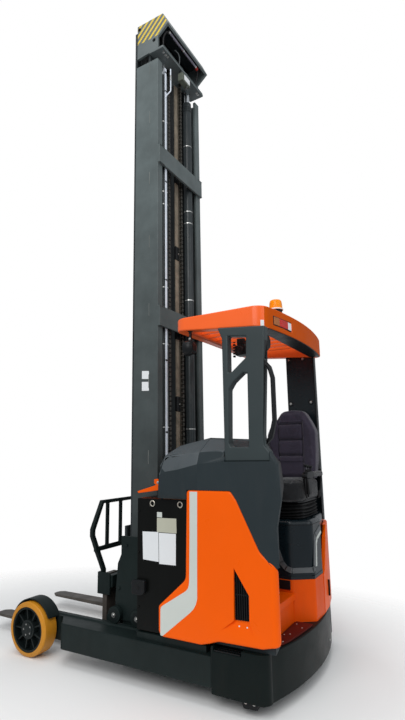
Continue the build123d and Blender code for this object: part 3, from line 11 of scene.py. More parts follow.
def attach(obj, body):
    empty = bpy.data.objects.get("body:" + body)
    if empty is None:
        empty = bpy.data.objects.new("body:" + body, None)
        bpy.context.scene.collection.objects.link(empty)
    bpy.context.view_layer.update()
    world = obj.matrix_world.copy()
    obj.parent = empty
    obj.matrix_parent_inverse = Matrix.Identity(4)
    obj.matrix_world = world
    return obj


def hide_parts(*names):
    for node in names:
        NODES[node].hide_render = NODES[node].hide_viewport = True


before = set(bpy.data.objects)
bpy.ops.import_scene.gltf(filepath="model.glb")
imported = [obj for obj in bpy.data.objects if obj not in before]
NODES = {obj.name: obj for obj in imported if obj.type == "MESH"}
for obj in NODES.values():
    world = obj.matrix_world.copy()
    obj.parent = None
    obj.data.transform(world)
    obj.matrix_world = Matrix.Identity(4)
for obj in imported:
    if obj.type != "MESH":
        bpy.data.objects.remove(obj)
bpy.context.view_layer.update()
random.seed(7)


def add_object(name, data):
    o = bpy.data.objects.new(name, data)
    bpy.context.scene.collection.objects.link(o)
    return o


# Camera at the photograph's viewpoint
EYE = Vector((-2.29741, 3.15664, 1.37609))
YAW, PITCH, ROLL = math.radians(60.04), math.radians(10.65), math.radians(-0.96)


def make_camera():
    ahead = Vector((math.cos(PITCH) * math.cos(YAW), -math.cos(PITCH) * math.sin(YAW), math.sin(PITCH)))
    right = ahead.cross(Vector((0, 0, 1))).normalized()
    up = right.cross(ahead)
    c, s = math.cos(ROLL), math.sin(ROLL)
    x_axis = c * right + s * up
    y_axis = c * up - s * right
    turn = Matrix((x_axis, y_axis, -ahead)).transposed()
    data = bpy.data.cameras.new("camera")
    data.sensor_fit = "AUTO"
    data.sensor_width = 36.0
    data.lens = 23.884
    data.shift_x = 0.00083
    data.shift_y = 0.00364
    data.clip_start, data.clip_end = 0.05, 200
    cam = add_object("camera", data)
    cam.matrix_world = Matrix.Translation(EYE) @ turn.to_4x4()
    bpy.context.scene.camera = cam


make_camera()
bpy.context.scene.view_settings.view_transform = "Standard"


# Node helpers
def new_material(name):
    m = bpy.data.materials.new(name)
    m.use_nodes = True
    m.node_tree.nodes.clear()
    out = m.node_tree.nodes.new("ShaderNodeOutputMaterial")
    bsdf = m.node_tree.nodes.new("ShaderNodeBsdfPrincipled")
    m.node_tree.links.new(bsdf.outputs[0], out.inputs[0])
    return m, m.node_tree, bsdf


def node(tree, kind, **values):
    n = tree.nodes.new(kind)
    for key, value in values.items():
        setattr(n, key, value)
    return n


def feed(tree, n, **values):
    # Sets inputs by name: a number or colour is set, a socket is linked.
    for key, value in values.items():
        socket = n.inputs[key.replace("_", " ")]
        if isinstance(value, bpy.types.NodeSocket):
            tree.links.new(value, socket)
        else:
            socket.default_value = value
    return n.outputs[0]


def coords(tree, scale=(1, 1, 1)):
    c = node(tree, "ShaderNodeTexCoord")
    m = node(tree, "ShaderNodeMapping")
    tree.links.new(c.outputs["Object"], m.inputs["Vector"])
    m.inputs["Scale"].default_value = scale
    return m.outputs[0]


def split(tree, vector):
    n = node(tree, "ShaderNodeSeparateXYZ")
    tree.links.new(vector, n.inputs[0])
    return n.outputs


def bands(tree, direction, **values):
    n = node(tree, "ShaderNodeTexWave", wave_type="BANDS", bands_direction=direction)
    feed(tree, n, **values)
    return n.outputs["Fac"]


def noise_tex(tree, vector, scale, detail=4, rough=0.55, distort=0.0):
    n = node(tree, "ShaderNodeTexNoise")
    feed(tree, n, Vector=vector, Scale=scale, Detail=detail, Roughness=rough, Distortion=distort)
    return n.outputs["Fac"]


def remap(tree, value, a, b, c=0.0, d=1.0):
    n = node(tree, "ShaderNodeMapRange")
    n.clamp = True
    return feed(tree, n, Value=value, From_Min=a, From_Max=b, To_Min=c, To_Max=d)


def mix_colour(tree, fac, a, b, kind="MIX"):
    n = node(tree, "ShaderNodeMix", data_type="RGBA", blend_type=kind)
    for index, value in ((0, fac), (6, a), (7, b)):
        if isinstance(value, bpy.types.NodeSocket):
            tree.links.new(value, n.inputs[index])
        elif index:
            n.inputs[index].default_value = (*value[:3], 1)
        else:
            n.inputs[index].default_value = value
    return n.outputs[2]


def math_node(tree, kind, a, b=0.0):
    n = node(tree, "ShaderNodeMath", operation=kind)
    for index, value in ((0, a), (1, b)):
        if isinstance(value, bpy.types.NodeSocket):
            tree.links.new(value, n.inputs[index])
        else:
            n.inputs[index].default_value = value
    return n.outputs[0]


def bump(tree, bsdf, height, distance, strength=1.0):
    n = node(tree, "ShaderNodeBump")
    feed(tree, n, Height=height, Distance=distance, Strength=strength)
    tree.links.new(n.outputs[0], bsdf.inputs["Normal"])


def tone(colour, factor):
    return tuple(min(1.0, c * factor) for c in colour[:3])


def paint(name, colour, rough=0.4, metal=0.0, vary=0.12, dust=0.0, dust_colour=(0.35, 0.34, 0.32), grain=0.00012,
          grain_scale=900, scuff=0.0, scuff_colour=None, patch=2.2, low_dirt=0.0, specular=0.3, scratch=0.0,
          rise=None):
    # Painted or moulded surface: tone patches, streaks of dust, scuffs and a fine grain; rise paints shading, darker
    # low down and lighter high up.
    m, t, b = new_material(name)
    here = coords(t)
    patches = noise_tex(t, here, patch, 5, 0.6)
    colour_out = mix_colour(t, remap(t, patches, 0.35, 0.65), tone(colour, 1 - vary), tone(colour, 1 + vary))
    if dust:
        streak = noise_tex(t, coords(t, (1, 1, 0.22)), 9, 6, 0.65, 0.4)
        colour_out = mix_colour(t, remap(t, streak, 0.5, 0.8, 0, dust), colour_out, dust_colour)
    if scuff:
        marks = noise_tex(t, coords(t, (1, 1, 1)), 26, 8, 0.72, 1.2)
        edge = remap(t, marks, 0.66 - 0.08 * scuff, 0.70, 0, 1)
        colour_out = mix_colour(t, math_node(t, "MULTIPLY", edge, scuff), colour_out, scuff_colour or tone(colour, 2.2))
    if scratch:
        lines = noise_tex(t, coords(t, (1, 1, 14)), 30, 6, 0.7, 0.6)
        colour_out = mix_colour(t, remap(t, lines, 0.68, 0.74, 0, scratch), colour_out, tone(colour, 2.6))
    if low_dirt:
        low = remap(t, split(t, here)[2], 0.02, 0.5, low_dirt, 0)
        spread = math_node(t, "MULTIPLY", low, noise_tex(t, here, 12, 6, 0.6))
        colour_out = mix_colour(t, spread, colour_out, dust_colour)
    # Painted shading: the colour is multiplied by a grey that grows with height, darker low down and lighter high up.
    if rise:
        shade = remap(t, split(t, here)[2], *rise)
        grey = node(t, "ShaderNodeCombineColor")
        for k in range(3):
            t.links.new(shade, grey.inputs[k])
        colour_out = mix_colour(t, 1.0, colour_out, grey.outputs[0], "MULTIPLY")
    uneven = remap(t, noise_tex(t, here, 7, 6, 0.6), 0.3, 0.7, rough * 0.82, min(1, rough * 1.2))
    feed(t, b, Base_Color=colour_out, Roughness=uneven, Metallic=metal, Specular_IOR_Level=specular)
    if grain:
        bump(t, b, noise_tex(t, here, grain_scale, 2, 0.5), grain)
    return m


def metal(name, colour, rough, brushed=(1, 1, 1), vary=0.15):
    m, t, b = new_material(name)
    streak = noise_tex(t, coords(t, brushed), 60, 5, 0.6)
    colour_out = mix_colour(t, streak, tone(colour, 1 - vary), tone(colour, 1 + vary))
    feed(t, b, Base_Color=colour_out, Roughness=remap(t, streak, 0.3, 0.7, rough * 0.7, rough * 1.4), Metallic=1.0)
    bump(t, b, streak, 0.0002, 0.6)
    return m


def lens(name, colour, glow):
    # Moulded lamp lens with fine prisms.
    m, t, b = new_material(name)
    prisms = bands(t, "Y", Vector=coords(t), Scale=90, Distortion=0.0)
    ripple = noise_tex(t, coords(t), 40, 3)
    colour_out = mix_colour(t, remap(t, ripple, 0.3, 0.7), tone(colour, 0.85), tone(colour, 1.1))
    feed(t, b, Base_Color=colour_out, Roughness=0.12, Specular_IOR_Level=0.2, Emission_Color=(*colour, 1),
         Emission_Strength=glow)
    bump(t, b, prisms, 0.0006, 0.5)
    return m


def cloth(name, colour):
    # Woven upholstery: two crossed thread waves, mottled tone and sheen.
    m, t, b = new_material(name)
    here = coords(t)
    warp, weft, third = [bands(t, way, Vector=here, Scale=250, Distortion=1.5, Detail=1.0) for way in "XZY"]
    weave = math_node(t, "ADD", math_node(t, "MULTIPLY", warp, weft), math_node(t, "MULTIPLY", third, 0.5))
    mottled = noise_tex(t, here, 160, 5, 0.7)
    soft = noise_tex(t, here, 9, 3, 0.6)
    base = mix_colour(t, remap(t, soft, 0.35, 0.65), tone(colour, 0.8), tone(colour, 1.15))
    base = mix_colour(t, remap(t, mottled, 0.35, 0.7, 0, 0.55), base, tone(colour, 1.9))
    base = mix_colour(t, remap(t, weave, 0.1, 0.9, 0.45, 0.0), base, tone(colour, 0.35))
    feed(t, b, Base_Color=base, Roughness=0.95, Sheen_Weight=0.35, Sheen_Roughness=0.4, Specular_IOR_Level=0.2)
    bump(t, b, math_node(t, "ADD", weave, mottled), 0.0006, 0.8)
    return m


def braid_material():
    # Fine woven wire: two slanted waves across each other.
    m, t, b = new_material("braided_wire")
    turns = [bands(t, "DIAGONAL", Vector=coords(t, (slant, 1, 1)), Scale=70, Distortion=0.3) for slant in (1, -1)]
    weave = math_node(t, "MULTIPLY", *turns)
    wires = mix_colour(t, weave, (0.10, 0.09, 0.13), (0.62, 0.60, 0.68))
    feed(t, b, Base_Color=wires, Metallic=0.6, Roughness=0.35)
    bump(t, b, weave, 0.0008)
    return m


# Materials
M = {}
# The mast's rise is painted shading: its colour is darker low down and lighter towards the top.
M["mast"] = paint("mast_paint", (0.085, 0.104, 0.104), 0.42, vary=0.14, dust=0.35, dust_colour=(0.12, 0.14, 0.14),
                  scuff=0.30, scuff_colour=(0.022, 0.026, 0.026), patch=5, scratch=0.10, rise=(0.8, 4.0, 0.45, 1.25))
M["mast_in"] = paint("mast_inner_paint", (0.020, 0.026, 0.028), 0.45, vary=0.2, dust=0.3,
                     dust_colour=(0.06, 0.06, 0.05), scuff=0.25, scuff_colour=(0.01, 0.01, 0.01), patch=5)
M["frame"] = paint("frame_paint", (0.0085, 0.0150, 0.0145), 0.40, vary=0.14, dust=0.25,
                   dust_colour=(0.03, 0.034, 0.034), scuff=0.2, scuff_colour=(0.05, 0.055, 0.055), low_dirt=0.3,
                   patch=3, specular=0.14)
M["skirt"] = paint("skirt_paint", (0.0042, 0.0085, 0.0082), 0.36, vary=0.12, dust=0.25,
                   dust_colour=(0.02, 0.021, 0.019), low_dirt=0.25, patch=3, specular=0.1)
M["orange"] = paint("orange_paint", (0.98, 0.118, 0.0), 0.32, vary=0.02, grain=0.00006, grain_scale=500, specular=0.14,
                    dust=0.03, dust_colour=(0.6, 0.16, 0.04), low_dirt=0.06)
M["orange_guard"] = paint("orange_guard_paint", (0.95, 0.135, 0.02), 0.30, vary=0.03, grain=0.00006, grain_scale=500,
                          specular=0.35)
# Painted shade: a darker copy of the guard's orange for the faces that look rearward.
M["orange_rear"] = paint("orange_rear_paint", (0.60, 0.085, 0.0), 0.5, vary=0.05, specular=0.05)
M["orange_inner"] = paint("orange_inner_paint", (0.80, 0.085, 0.0), 0.42, vary=0.08, dust=0.15,
                          dust_colour=(0.35, 0.08, 0.02), scuff=0.25, scuff_colour=(0.16, 0.05, 0.02), low_dirt=0.3,
                          specular=0.14)
M["hood"] = paint("hood_plastic", (0.070, 0.083, 0.090), 0.50, vary=0.06, grain=0.0003, grain_scale=700, dust=0.12,
                  dust_colour=(0.14, 0.14, 0.14))
M["console"] = paint("console_plastic", (0.019, 0.028, 0.032), 0.48, vary=0.07, grain=0.0003, grain_scale=700,
                     dust=0.12, dust_colour=(0.06, 0.06, 0.06), specular=0.25)
M["pillar"] = paint("pillar_paint", (0.034, 0.046, 0.048), 0.42, vary=0.06, grain=0.0002, grain_scale=700)
M["slate"] = paint("slate_gloss", (0.006, 0.012, 0.016), 0.26, vary=0.08, grain=0.0001, specular=0.35)
M["trim"] = paint("grey_trim", (0.11, 0.12, 0.125), 0.45, vary=0.06)
M["rubber"] = paint("rubber", (0.007, 0.007, 0.0075), 0.62, specular=0.2, vary=0.15, grain=0.0003, grain_scale=800,
                    dust=0.2, dust_colour=(0.05, 0.05, 0.05))
M["plastic"] = paint("black_plastic", (0.006, 0.0068, 0.0078), 0.42, specular=0.22, vary=0.1, grain=0.0003,
                     grain_scale=1100)
M["battery"] = paint("battery_paint", (0.0022, 0.0026, 0.0022), 0.34, vary=0.15, dust=0.18,
                     dust_colour=(0.012, 0.012, 0.01), scratch=0.05, specular=0.14)
M["cylinder"] = paint("cylinder_paint", (0.026, 0.033, 0.035), 0.32, vary=0.12, dust=0.15)
M["chrome"] = metal("polished_steel", (0.75, 0.78, 0.80), 0.12, (1, 1, 0.05))
M["steel"] = metal("worn_steel", (0.32, 0.32, 0.31), 0.38, (1, 1, 0.3), 0.25)
M["chain"] = metal("chain_steel", (0.20, 0.19, 0.17), 0.42, (1, 1, 1), 0.4)
M["zinc"] = metal("zinc_bolt", (0.55, 0.55, 0.53), 0.32)
M["fork"] = paint("fork_paint", (0.075, 0.066, 0.058), 0.42, metal=0.35, vary=0.2, dust=0.5,
                  dust_colour=(0.20, 0.16, 0.13), scuff=0.6, scuff_colour=(0.16, 0.13, 0.11), patch=8, scratch=0.25)
M["amber_tyre"] = paint("amber_tyre", (0.62, 0.25, 0.012), 0.40, vary=0.10, dust=0.25, dust_colour=(0.30, 0.17, 0.05),
                        grain=0.0002, low_dirt=0.3)
M["hub"] = paint("hub_paint", (0.008, 0.012, 0.012), 0.42, vary=0.12, dust=0.2, dust_colour=(0.03, 0.035, 0.033),
                 specular=0.15)
M["dark_tyre"] = paint("dark_tyre", (0.03, 0.027, 0.024), 0.6, vary=0.1, dust=0.4)
M["seat"] = cloth("seat_cloth", (0.045, 0.038, 0.058))
M["seat_flat"] = cloth("seat_cloth_grey", (0.020, 0.021, 0.023))
M["piping"] = paint("seat_piping", (0.012, 0.010, 0.016), 0.8)
M["mat"] = paint("step_mat", (0.085, 0.0065, 0.004), 0.62, vary=0.2, grain=0.0006, grain_scale=350, dust=0.2,
                 dust_colour=(0.10, 0.03, 0.02), specular=0.12)
M["stripe"] = paint("grey_stripe", (0.62, 0.655, 0.61), 0.42, vary=0.03, grain=0.00004)
M["white"] = paint("blank_white_sheet", (0.80, 0.82, 0.83), 0.5, vary=0.02, grain=0.00005)
M["beige"] = paint("blank_beige_plate", (0.50, 0.50, 0.40), 0.45, vary=0.04)
M["black"] = paint("deep_black", (0.004, 0.004, 0.005), 0.5, vary=0.1)
M["amber_lens"] = lens("amber_lens", (0.88, 0.26, 0.0), 0.10)
M["red_lens"] = lens("red_lens", (0.55, 0.015, 0.01), 0.05)
M["clear_lens"] = lens("clear_lens", (0.75, 0.75, 0.78), 0.1)
M["red_cap"] = paint("red_cap", (0.30, 0.015, 0.01), 0.4)
# Painted highlight: a pale blue-white that stands for the streak of light on the left lift cylinder.
M["tube_painted_highlight"] = paint("tube_painted_highlight_paint", (0.70, 0.75, 0.82), 0.25, vary=0.1)
M["rim_metal"] = metal("lifting_ring", (0.62, 0.58, 0.50), 0.35)
M["brown"] = paint("brown_edge", (0.16, 0.06, 0.025), 0.7, vary=0.3)
M["rust"] = paint("rust_marks", (0.16, 0.07, 0.03), 0.8, vary=0.3)
M["mast_edge"] = paint("worn_mast_edge", (0.17, 0.18, 0.17), 0.5, vary=0.3)
M["worn_strip"] = paint("worn_strip", (0.24, 0.20, 0.15), 0.65, vary=0.25, scuff=0.6, scuff_colour=(0.09, 0.07, 0.05),
                        patch=14)
M["olive"] = paint("olive_case", (0.10, 0.115, 0.09), 0.5, vary=0.12, dust=0.3, dust_colour=(0.22, 0.21, 0.17))
M["chain_dark"] = metal("chain_dark_steel", (0.05, 0.047, 0.04), 0.5, (1, 1, 1), 0.4)
M["amber_dark"] = lens("amber_dark_lens", (0.42, 0.13, 0.03), 0.02)
M["braid"] = braid_material()
M["hose"] = paint("hose_rubber", (0.010, 0.010, 0.011), 0.55, vary=0.15, dust=0.3, dust_colour=(0.05, 0.045, 0.04))


def head_material():
    # Grey paint with a band of slanted yellow stripes across the outer sides of the mast head.
    m, t, b = new_material("head_paint")
    here = coords(t)
    x, y, z = split(t, here)
    slant = math_node(t, "ADD", x, z)
    pitch, share, side_face, band_low = 0.067, 0.42, 0.3335, 4.842
    step = math_node(t, "FRACT", math_node(t, "MULTIPLY", slant, 1 / pitch))
    stripe = math_node(t, "LESS_THAN", step, share)
    outer = math_node(t, "GREATER_THAN", math_node(t, "ABSOLUTE", y), side_face)
    high = math_node(t, "GREATER_THAN", z, band_low)
    band = math_node(t, "MULTIPLY", math_node(t, "MULTIPLY", stripe, outer), high)
    worn = remap(t, noise_tex(t, here, 30, 6, 0.7), 0.30, 0.42)
    band = math_node(t, "MULTIPLY", band, worn)
    grey = mix_colour(t, noise_tex(t, here, 6, 5), (0.085, 0.105, 0.106), (0.125, 0.148, 0.148))
    feed(t, b, Base_Color=mix_colour(t, band, grey, (0.70, 0.50, 0.03)),
         Roughness=remap(t, noise_tex(t, here, 8, 5), 0.3, 0.7, 0.35, 0.55))
    bump(t, b, noise_tex(t, here, 700, 2), 0.00012)
    return m


M["head"] = head_material()

# Materials of the carried-over CAD nodes
NODE_MATERIALS = {
    "mast": ("outer_mast",),
    "frame": ("leg_left", "leg_right", "chassis_frame", "reach_carriage", "side_shifter", "fork_frame",
              "load_backrest"),
    "mast_in": ("middle_mast", "inner_mast", "lift_carriage"),
    "head": ("mast_head",),
    "skirt": ("rear_skirt",),
    "orange": ("side_panel_left", "side_panel_right", "overhead_guard"),
    "orange_inner": ("cab_floor", "pedestal_base"),
    "hood": ("battery_hood",),
    "console": ("left_console",),
    "pillar": ("pillar_left", "pillar_right"),
    "slate": ("pedestal_cover",),
    "rubber": ("seat_bellows",),
    "plastic": ("armrest", "steering_wheel", "work_lamps", "drive_motor", "drive_gearbox"),
    "battery": ("battery",),
    "cylinder": ("lift_cylinders", "free_lift_cylinder"),
    "chrome": ("lift_rods", "free_lift_rod"),
    "chain": ("lift_chains",),
    "fork": ("forks",),
    "amber_tyre": ("load_tyre_left", "load_tyre_right"),
    "hub": ("load_hub_left", "load_hub_right"),
    "dark_tyre": ("drive_wheel",),
    "mat": ("entry_step",),
    "amber_lens": ("beacon",),
    "seat": ("seat_cushion", "seat_back"),
}
for key, names in NODE_MATERIALS.items():
    for name in names:
        data = NODES[name].data
        data.materials.clear()
        data.materials.append(M[key])


# Mesh helpers
ROUNDED_FROM = math.radians(30)


def weigh(o):
    # Keeps flat faces flat beside their rounded edges.
    w = o.modifiers.new("weigh", "WEIGHTED_NORMAL")
    w.keep_sharp = True
    w.weight = 100
    return o


def across(p, axis, v):
    # A flat point set across one axis, at a place on it.
    return {"x": (v, p[0], p[1]), "y": (p[0], v, p[1]), "z": (p[0], p[1], v)}[axis]


class Piece:
    """Collects solids into one mesh, each with its own material and edge rounding."""

    def __init__(self, name, body, slot):
        self.name, self.body, self.slot = name, body, slot
        self.keys = []
        self.bm = bmesh.new()

    def index(self, key):
        if key not in self.keys:
            self.keys.append(key)
        return self.keys.index(key)

    def take(self, part, key, bevel=0.0, segments=2):
        bmesh.ops.recalc_face_normals(part, faces=part.faces)
        if bevel:
            edges = [e for e in part.edges if len(e.link_faces) == 2 and e.calc_face_angle() > ROUNDED_FROM]
            bmesh.ops.bevel(part, geom=edges, offset=bevel, offset_type="OFFSET", segments=segments, profile=0.55,
                            affect="EDGES", clamp_overlap=True)
        place = self.index(key)
        for f in part.faces:
            f.material_index = place
        held = bpy.data.meshes.new("held")
        part.to_mesh(held)
        part.free()
        self.bm.from_mesh(held)
        bpy.data.meshes.remove(held)
        return self

    def hull(self, rings, key, bevel=0.0, segments=2, closed=True):
        # A body through rings of equal numbers of points, with flat ends.
        part = bmesh.new()
        rows = [[part.verts.new(p) for p in ring] for ring in rings]
        count = len(rows[0])
        for a, b in zip(rows, rows[1:]):
            for i in range(count):
                j = (i + 1) % count
                part.faces.new((a[i], a[j], b[j], b[i]))
        if closed:
            part.faces.new(rows[0][::-1])
            part.faces.new(rows[-1])
        return self.take(part, key, bevel, segments)

    def box(self, low, high, key, bevel=0.0, segments=2):
        (x0, y0, z0), (x1, y1, z1) = low, high
        rings = [[(x0, y0, z), (x1, y0, z), (x1, y1, z), (x0, y1, z)] for z in (z0, z1)]
        return self.hull(rings, key, bevel, segments)

    def slab(self, points, axis, low, high, key, bevel=0.0, segments=2):
        # An outline drawn across one axis, between two places on it.
        return self.hull([[across(p, axis, v) for p in points] for v in (low, high)], key, bevel, segments)

    def lathe(self, centre, axis, profile, key, segments=48, bevel=0.0, ring=False):
        # Profile points are (place along the axis, radius). A ring's profile closes on itself.
        if ring:
            profile = [*profile, profile[0]]
        c = Vector(centre)
        w = Vector(axis).normalized()
        u = w.orthogonal().normalized()
        v = w.cross(u)
        rings = []
        for along, radius in profile:
            turn = []
            for i in range(segments):
                a = math.tau * i / segments
                turn.append(c + w * along + (u * math.cos(a) + v * math.sin(a)) * max(radius, 1e-5))
            rings.append(turn)
        return self.hull(rings, key, bevel, closed=not ring)

    def rod(self, a, b, radius, key, segments=20, bevel=0.0):
        a, b = Vector(a), Vector(b)
        return self.lathe(a, b - a, [(0, radius), ((b - a).length, radius)], key, segments, bevel=bevel)

    def tube(self, path, radius, key, segments=10, steps=8, profile=None, closed=False):
        # A round or flat strip swept along a smooth path through its points.
        points = [Vector(p) for p in path]
        line = []
        if closed:
            points = [points[-1], *points, points[0], points[1]]
        else:
            points = [points[0] * 2 - points[1], *points, points[-1] * 2 - points[-2]]
        for i in range(1, len(points) - 2):
            p0, p1, p2, p3 = points[i - 1:i + 3]
            for s in range(steps):
                t = s / steps
                line.append(0.5 * ((2 * p1) + (p2 - p0) * t + (2 * p0 - 5 * p1 + 4 * p2 - p3) * t * t
                                   + (3 * p1 - p0 - 3 * p2 + p3) * t ** 3))
        if not closed:
            line.append(points[-2])
        rings = []
        side = None
        for i, p in enumerate(line):
            if closed:
                ahead = line[(i + 1) % len(line)] - line[i - 1]
            else:
                ahead = line[min(i + 1, len(line) - 1)] - line[max(i - 1, 0)]
            ahead.normalize()
            side = ahead.orthogonal().normalized() if side is None else (side - ahead * side.dot(ahead)).normalized()
            up = ahead.cross(side)
            if profile:
                rings.append([p + side * q[0] + up * q[1] for q in profile])
            else:
                rings.append([p + (side * math.cos(math.tau * k / segments) + up * math.sin(math.tau * k / segments))
                              * radius for k in range(segments)])
        if closed:
            rings.append(rings[0])
        return self.hull(rings, key, closed=not closed)

    def bolt(self, place, outward, radius=0.009, height=0.006, key="zinc"):
        # Hexagon head on a washer.
        n = Vector(outward).normalized()
        p = Vector(place)
        self.lathe(p, n, [(0, radius * 1.35), (height * 0.25, radius * 1.35)], key, 20)
        head = [(0, radius), (height * 0.75, radius), (height, radius * 0.8)]
        return self.lathe(p + n * height * 0.25, n, head, key, 6)

    def rivet(self, place, outward, radius=0.006, key="zinc"):
        n = Vector(outward).normalized()
        return self.lathe(Vector(place) - n * 0.001, n, [(0, radius), (0.0015, radius * 0.95), (0.003, radius * 0.6),
                                                        (0.0036, radius * 0.1)], key, 14)

    def done(self, smooth=32, replaces=()):
        bmesh.ops.remove_doubles(self.bm, verts=self.bm.verts, dist=1e-6)
        mesh = bpy.data.meshes.new(self.name)
        self.bm.to_mesh(mesh)
        self.bm.free()
        for key in self.keys:
            mesh.materials.append(M[key])
        for poly in mesh.polygons:
            poly.use_smooth = True
        mesh.set_sharp_from_angle(angle=math.radians(smooth))
        o = add_object(self.name, mesh)
        weigh(o)
        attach(o, self.body)
        if replaces:
            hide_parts(*replaces)
        return o


def skin(node_name, key, body="chassis", width=0.006, segments=3, angle=30, choose=None, repaint=None,
         reshape=None, cut=None):
    """A rounded copy of a CAD node that stands for it. choose picks the edges to round."""
    bm = bmesh.new()
    bm.from_mesh(NODES[node_name].data)
    for v in bm.verts:
        if reshape:
            v.co = reshape(v.co)
    if cut:
        cut(bm)
    bmesh.ops.remove_doubles(bm, verts=bm.verts, dist=2e-5)
    bmesh.ops.dissolve_limit(bm, angle_limit=math.radians(0.6), verts=bm.verts, edges=bm.edges, delimit=set())
    edges = []
    for e in bm.edges:
        if len(e.link_faces) == 2 and e.calc_face_angle() > math.radians(angle):
            if choose is None or choose((e.verts[0].co + e.verts[1].co) / 2, e):
                edges.append(e)
    bmesh.ops.bevel(bm, geom=edges, offset=width, offset_type="OFFSET", segments=segments, profile=0.5,
                    affect="EDGES", clamp_overlap=False)
    bmesh.ops.remove_doubles(bm, verts=bm.verts, dist=2e-5)
    bmesh.ops.triangulate(bm, faces=[f for f in bm.faces if len(f.verts) > 4])
    mesh = bpy.data.meshes.new(node_name + "_skin")
    keys = [key]
    if repaint:
        for f in bm.faces:
            other = repaint(f.calc_center_median(), f.normal)
            if other:
                if other not in keys:
                    keys.append(other)
                f.material_index = keys.index(other)
    bm.to_mesh(mesh)
    bm.free()
    for k in keys:
        mesh.materials.append(M[k])
    mesh.validate()
    for poly in mesh.polygons:
        poly.use_smooth = True
    mesh.set_sharp_from_angle(angle=math.radians(28))
    o = add_object(node_name + "_skin", mesh)
    weigh(o)
    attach(o, body)
    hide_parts(node_name)
    return o


# Rounded mouldings
def console_foot(c):
    # The console stays behind the left panel and above its lower edge.
    if c.z < 0.765 and c.x < -0.76:
        c = Vector((c.x, min(c.y, 0.602), c.z))
    if c.z < 0.42 and c.y > 0.55:
        c = Vector((max(c.x, -1.238), min(c.y, 0.588), c.z))
    return c


def open_top(bm):
    # The view between the rails is open above the second cross member, below the head's shelf.
    rear, tip, member_top = -0.295, 0.268, 4.40
    for v in bm.verts:
        if v.co.z > member_top and v.co.x < rear:
            v.co.x = rear
    bmesh.ops.remove_doubles(bm, verts=bm.verts, dist=2e-5)
    for y in (-tip, tip):
        bmesh.ops.bisect_plane(bm, geom=bm.verts[:] + bm.edges[:] + bm.faces[:], dist=1e-6, plane_co=(0, y, 0),
                               plane_no=(0, 1, 0))

    def between_rails(v):
        return abs(v.co.x - rear) < 1e-4 and v.co.z > member_top and abs(v.co.y) < tip + 1e-4

    spare = [f for f in bm.faces if f.calc_area() < 1e-9 or all(between_rails(v) for v in f.verts)]
    bmesh.ops.delete(bm, geom=spare, context="FACES")


skin("side_panel_right", "orange", width=0.010, segments=3,
     choose=lambda p, e: p.y < -0.6275 and p.x > -1.10)
skin("battery_hood", "hood", width=0.012, segments=4, choose=lambda p, e: p.z > 1.2 and p.x > -0.79,
     repaint=lambda p, n: "console" if n.z < 0.25 and p.z < 1.30 else None)
skin("left_console", "console", width=0.008, segments=3, angle=40,
     choose=lambda p, e: p.z > 1.385 or (p.x < -1.20 and p.z > 0.75 and e.calc_length() > 0.02),
     repaint=lambda p, n: "hood" if n.z > 0.5 and p.z > 1.38 and p.x > -0.97 else
     ("plastic" if n.x < -0.3 and p.y < 0.60 and p.z > 0.95 else None),
     reshape=console_foot)
# The guard's rear-facing faces get the darker orange as painted shade.
skin("overhead_guard", "orange_guard", width=0.010, segments=4,
     choose=lambda p, e: abs(p.y) > 0.535 or p.x < -1.2 or p.x > -0.66,
     repaint=lambda p, n: "plastic" if n.z < -0.6 and p.x < -1.18 and abs(p.y) < 0.53 else
     ("orange_rear" if n.x < -0.8 and p.x < -1.2 else None))
skin("pedestal_cover", "slate", width=0.030, segments=6,
     choose=lambda p, e: p.z > 0.90 or (p.z > 0.57 and abs(e.verts[0].co.z - e.verts[1].co.z) > 0.2 and p.y > -0.1
                                        and p.x < -1.0))
skin("pedestal_base", "orange_inner", width=0.012, segments=3,
     choose=lambda p, e: abs(e.verts[0].co.z - e.verts[1].co.z) > 0.2 and p.x < -1.1)
skin("pillar_left", "pillar", width=0.009, segments=3,
     repaint=lambda p, n: "plastic" if p.x < -1.243 and p.z > 1.42 and p.z < 1.90 else None)
skin("pillar_right", "slate", width=0.004, segments=2)
skin("rear_skirt", "skirt", width=0.006, segments=2, choose=lambda p, e: p.z > 0.27 or p.z < 0.075)
for name, key, slot, body, width, angle in (
        ("leg_left", "frame", "frame_grey", "chassis", 0.006, 50),
        ("leg_right", "frame", "frame_grey", "chassis", 0.006, 50),
        ("battery", "battery", "battery_black", "chassis", 0.004, 50),
        ("reach_carriage", "frame", "mast_grey", "reach_carriage", 0.004, 50),
        ("forks", "fork", "fork_steel", "fork_frame", 0.004, 40),
        ("load_backrest", "frame", "mast_grey", "fork_frame", 0.004, 50),
        ("fork_frame", "frame", "mast_grey", "fork_frame", 0.004, 50)):
    skin(name, key, body, width, 2, angle)
skin("outer_mast", "mast", "reach_carriage", 0.004, 2, 60, cut=open_top)
skin("mast_head", "head", "middle_mast", 0.003, 2, 50)
skin("cab_floor", "orange_inner", width=0.003, segments=2, angle=50)


# Measures in millimetres
def mm(*v):
    return tuple(c / 1000 for c in v)


def mms(points):
    return [mm(*p) for p in points]


def ribbon(piece, path, normals, width, thick, key):
    # A flat strip laid along a path on faces with the given normals.
    points = [Vector(p) for p in path]
    rings = []
    for i, p in enumerate(points):
        ahead = (points[min(i + 1, len(points) - 1)] - points[max(i - 1, 0)]).normalized()
        n = Vector(normals[i]).normalized()
        side = ahead.cross(n).normalized()
        if 0 < i < len(points) - 1:
            before, after = (p - points[i - 1]).normalized(), (points[i + 1] - p).normalized()
            side *= 1 / max(0.5, math.cos(before.angle(after) / 2))
        rings.append([p - side * width / 2 - n * 0.001, p + side * width / 2 - n * 0.001,
                      p + side * width / 2 + n * thick, p - side * width / 2 + n * thick])
    return piece.hull(rings, key)


# Left side panel: rounded outline and rim, turned round the rear corner, with a vent opening and a sloped sill
CORNER_START, CORNER_END, CORNER_RADIUS, CORNER_CENTRE_Y = 1.230, 1.29283, 0.040, 0.588


